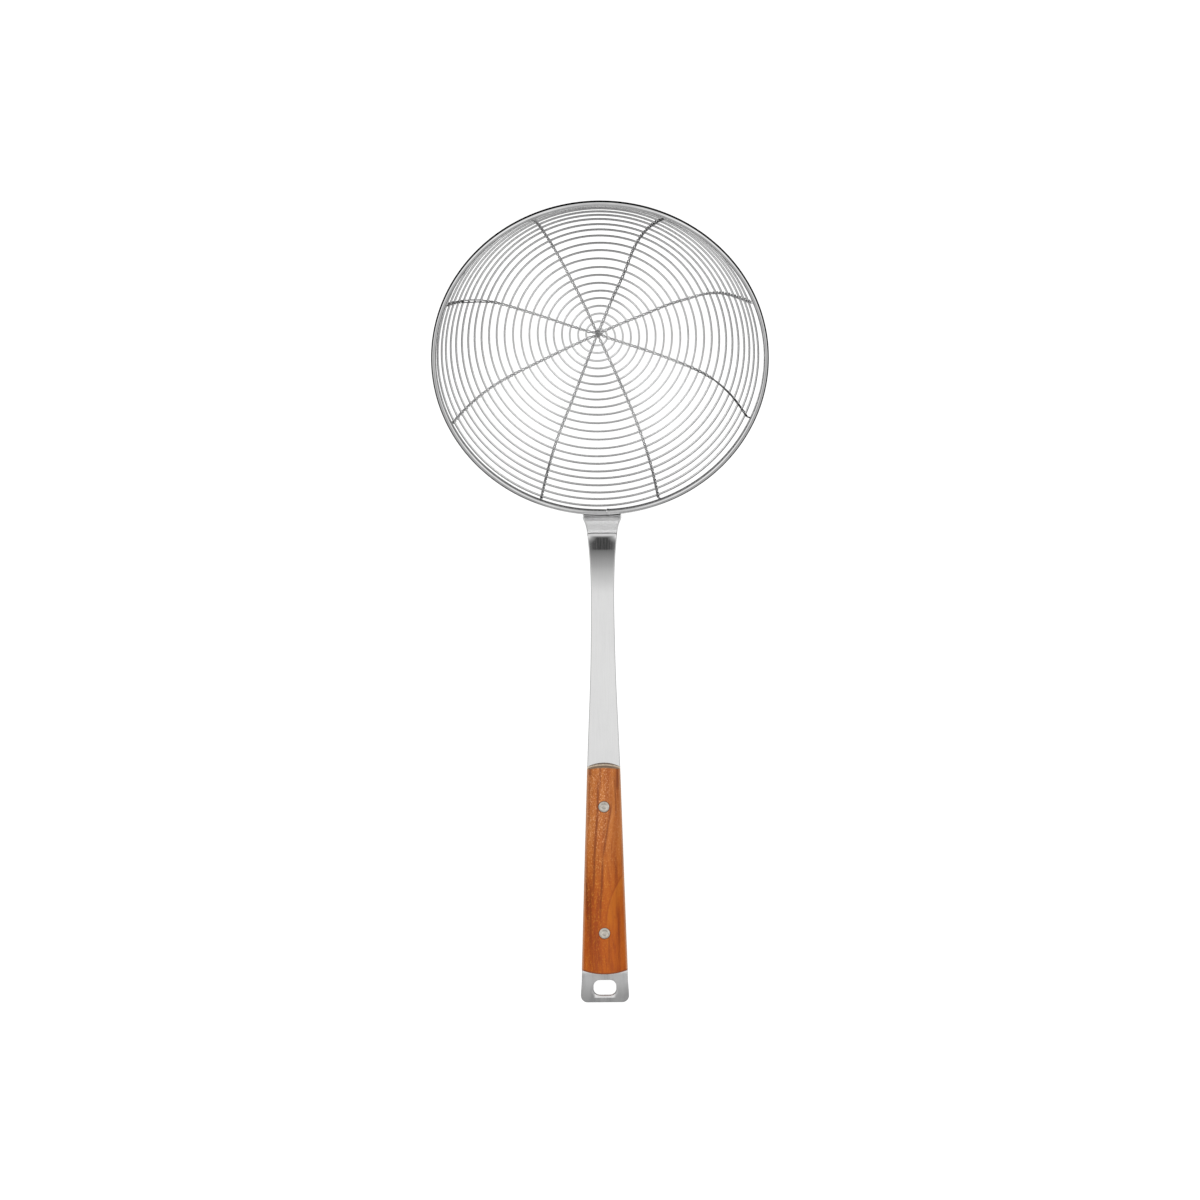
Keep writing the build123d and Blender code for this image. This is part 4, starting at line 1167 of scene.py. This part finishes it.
# ---------------------------------------------------------------------------
# Rivets: flat heads with a rounded edge and the faint ring of the inner half
# ---------------------------------------------------------------------------
for v_, word in zip(RIVET_V, ("lower", "upper")):
    for up, kind in ((1, "tube"), (-1, "pin")):
        top = BAR_T / 2 + SCALE_H + PROUD
        o_ = grip_point(0.0, v_, 0.0)
        R = HEAD_R
        pts = [(0, top - 0.02), (0.55, top - 0.015), (1.02, top - 0.03), (1.14, top - 0.11), (1.26, top - 0.11),
               (1.38, top - 0.02), (1.9, top), (2.25, top - 0.02), (2.45, top - 0.07), (2.58, top - 0.17),
               (R, top - 0.36), (R, top - HEAD_T), (R - 0.05, top - HEAD_T - 0.03)]
        shank = 1.8 - 0.02
        stop = -(BAR_T / 2 + 4.0) if kind == "tube" else (BAR_T / 2 + 4.3)
        pts += [(shank, top - HEAD_T - 0.03), (shank, stop if kind == "tube" else stop), (0, stop if kind == "tube" else stop)]
        v, f = lathe(pts, o_, GRIP_N * up, EX, 56)
        o = mesh_object("%s_rivet_%s_ground" % (word, kind), v, f, MAT_RIVET, sharp=50)
        piece(o, "rivet_steel", "%s_rivet_%s" % (word, kind))

# ---------------------------------------------------------------------------
# Floor, light, camera
# ---------------------------------------------------------------------------
fm = Mat("studio_floor")
fm.nt.nodes.remove(fm.bsdf)
pale = fm.node("ShaderNodeBsdfDiffuse")
grain = fm.noise(fm.scaled(1, 1, 1), 3.0, 2, 0.5)
fm.link(fm.ramp(grain, [(0.3, (0.88, 0.88, 0.88)), (0.7, (0.90, 0.90, 0.90))]), pale.inputs[0])
dim = fm.node("ShaderNodeBsdfDiffuse")
dim.inputs[0].default_value = (0.004, 0.004, 0.004, 1)
path_ = fm.node("ShaderNodeLightPath")
mixer = fm.node("ShaderNodeMixShader")
# seen in the polished steel, the floor round the object is darker than under it
ex = fm.math("DIVIDE", fm.xyz.outputs["X"], 0.083)
ey = fm.math("DIVIDE", fm.math("SUBTRACT", fm.xyz.outputs["Y"], 0.128), 0.072)
rr_ = fm.math("SQRT", fm.math("ADD", fm.math("MULTIPLY", ex, ex), fm.math("MULTIPLY", ey, ey)))
outside = fm.span(rr_, 0.84, 0.98, 0.0, 1.0)
strip_ = fm.math("MULTIPLY", fm.span(fm.math("ABSOLUTE", fm.xyz.outputs["X"]), 0.030, 0.050, 1.0, 0.0),
                 fm.span(fm.xyz.outputs["Y"], 0.046, 0.056, 1.0, 0.0))
outside = fm.math("MULTIPLY", outside, fm.math("SUBTRACT", 1.0, fm.math("MULTIPLY", strip_, 0.55)))
fm.put(mixer.inputs[0], fm.math("MULTIPLY", path_.outputs["Is Glossy Ray"], outside))
fm.link(pale.outputs[0], mixer.inputs[1])
fm.link(dim.outputs[0], mixer.inputs[2])
# to the camera the sweep reads as an even, bright white with a faint shade
glow = fm.node("ShaderNodeEmission")
fm.link(fm.ramp(grain, [(0.3, (0.925, 0.925, 0.925)), (0.7, (0.940, 0.940, 0.940))]), glow.inputs[0])
faint = fm.node("ShaderNodeBsdfDiffuse")
faint.inputs[0].default_value = (0.12, 0.12, 0.12, 1)
both = fm.node("ShaderNodeAddShader")
fm.link(glow.outputs[0], both.inputs[0])
fm.link(faint.outputs[0], both.inputs[1])
final = fm.node("ShaderNodeMixShader")
fm.put(final.inputs[0], path_.outputs["Is Camera Ray"])
fm.link(mixer.outputs[0], final.inputs[1])
fm.link(both.outputs[0], final.inputs[2])
fm.link(final.outputs[0], fm.out.inputs[0])
fv = [(-4, -4, -0.00003), (4, -4, -0.00003), (4, 4, -0.00003), (-4, 4, -0.00003)]
floor_o = mesh_object("studio_floor", fv, [(0, 1, 2, 3)], fm.mat, in_mm=False)

world = bpy.data.worlds.new("studio")
bpy.context.scene.world = world
world.use_nodes = True
nt = world.node_tree
nt.nodes.clear()


class W(Mat):
    def __init__(self):
        self.nt = nt


w = W()
out = w.node("ShaderNodeOutputWorld")
bg = w.node("ShaderNodeBackground")
w.link(bg.outputs[0], out.inputs[0])
direction = w.node("ShaderNodeTexCoord").outputs["Generated"]
sep = w.node("ShaderNodeSeparateXYZ")
w.link(direction, sep.inputs[0])
dx, dy, dz = sep.outputs
flat_len = w.math("SQRT", w.math("ADD", w.math("ADD", w.math("MULTIPLY", dx, dx), w.math("MULTIPLY", dy, dy)), 1e-9))
theta = w.math("POWER", w.math("DIVIDE", w.math("ARCTAN2", flat_len, dz), pi), 0.5)
toward = w.math("DIVIDE", dy, flat_len)          # +1 toward +Y, -1 toward -Y
w_plus = w.math("POWER", w.math("MAXIMUM", toward, 0.0), 2.0)
w_minus = w.math("POWER", w.math("MAXIMUM", w.math("MULTIPLY", toward, -1.0), 0.0), 2.0)
w_side = w.math("SUBTRACT", 1.0, w.math("ADD", w_plus, w_minus))
TOP = 2.0
CORE = [(0.0, 0.045), (0.3, 0.05), (0.6, 0.20), (0.86, 0.24), (2.5, 0.345), (4.2, 0.45), (5.8, 0.53), (7.5, 0.66),
        (10.8, 0.84), (15.2, 1.05)]


def sky(stops, core=CORE):
    pts = [((d_ / 180.0) ** 0.5, (v_ / TOP,) * 3) for d_, v_ in core + stops]
    return w.ramp(theta, pts)


minus = sky([(17.5, 0.95), (21.0, 0.45), (30.0, 0.35), (60.0, 0.50), (84.0, 0.5), (91.0, 0.25), (180, 0.2)])
plus = sky([(58.0, 0.80), (68.0, 0.55), (76.0, 0.08), (91.0, 0.05), (180, 0.05)],
           [(0.0, 0.045), (0.6, 0.05), (1.0, 0.14), (4.0, 0.36), (12.0, 0.62), (30.0, 0.76)])
sides = sky([(25.0, 1.10), (60.0, 1.05), (68.0, 0.7), (76.0, 0.12), (91.0, 0.05), (180, 0.05)])
sep2 = [w.node("ShaderNodeSeparateColor") for _ in range(3)]
for s_, c_ in zip(sep2, (minus, plus, sides)):
    w.link(c_, s_.inputs[0])
lum = w.math("ADD", w.math("ADD", w.math("MULTIPLY", sep2[0].outputs[0], w_minus),
                           w.math("MULTIPLY", sep2[1].outputs[0], w_plus)),
             w.math("MULTIPLY", sep2[2].outputs[0], w_side))
lum = w.math("MULTIPLY", lum, TOP)
lp = w.node("ShaderNodeLightPath")
# what the camera sees past the floor is the same pale studio
seen = w.math("ADD", w.math("MULTIPLY", lum, w.math("SUBTRACT", 1.0, lp.outputs["Is Camera Ray"])),
              w.math("MULTIPLY", lp.outputs["Is Camera Ray"], 1.0))
w.put(bg.inputs["Strength"], seen)
bg.inputs["Color"].default_value = (1, 1, 1, 1)

fill = bpy.data.lights.new("soft_fill", "SUN")
fill.energy = 2.6
fill.angle = radians(100)
fill_o = bpy.data.objects.new("soft_fill", fill)
bpy.context.scene.collection.objects.link(fill_o)
fill_o.rotation_euler = (radians(-8), 0, 0)
fill_o.visible_glossy = False

# camera: far above, looking straight down, the skimmer turned slightly
DIST, TURN = 10.0, radians(-0.44)
rim_centre = to_world(np.array([0.0, 0.0, RIM_TOP_Z])) * MM
axis_r = np.array([cos(TURN), sin(TURN)])
axis_u = np.array([-sin(TURN), cos(TURN)])
place = rim_centre[:2] - axis_r * (-0.000024) - axis_u * 0.11486
cam = bpy.data.cameras.new("camera")
cam.sensor_width = 36.0
cam.lens = 2100.8 * (DIST - 0.047) / 1200.0 * 36.0
cam.clip_start, cam.clip_end = 0.1, 100.0
cam_o = bpy.data.objects.new("camera", cam)
bpy.context.scene.collection.objects.link(cam_o)
cam_o.location = (float(place[0]), float(place[1]), DIST)
cam_o.rotation_euler = (0, 0, TURN)
bpy.context.scene.camera = cam_o
bpy.context.scene.view_settings.view_transform = "Standard"
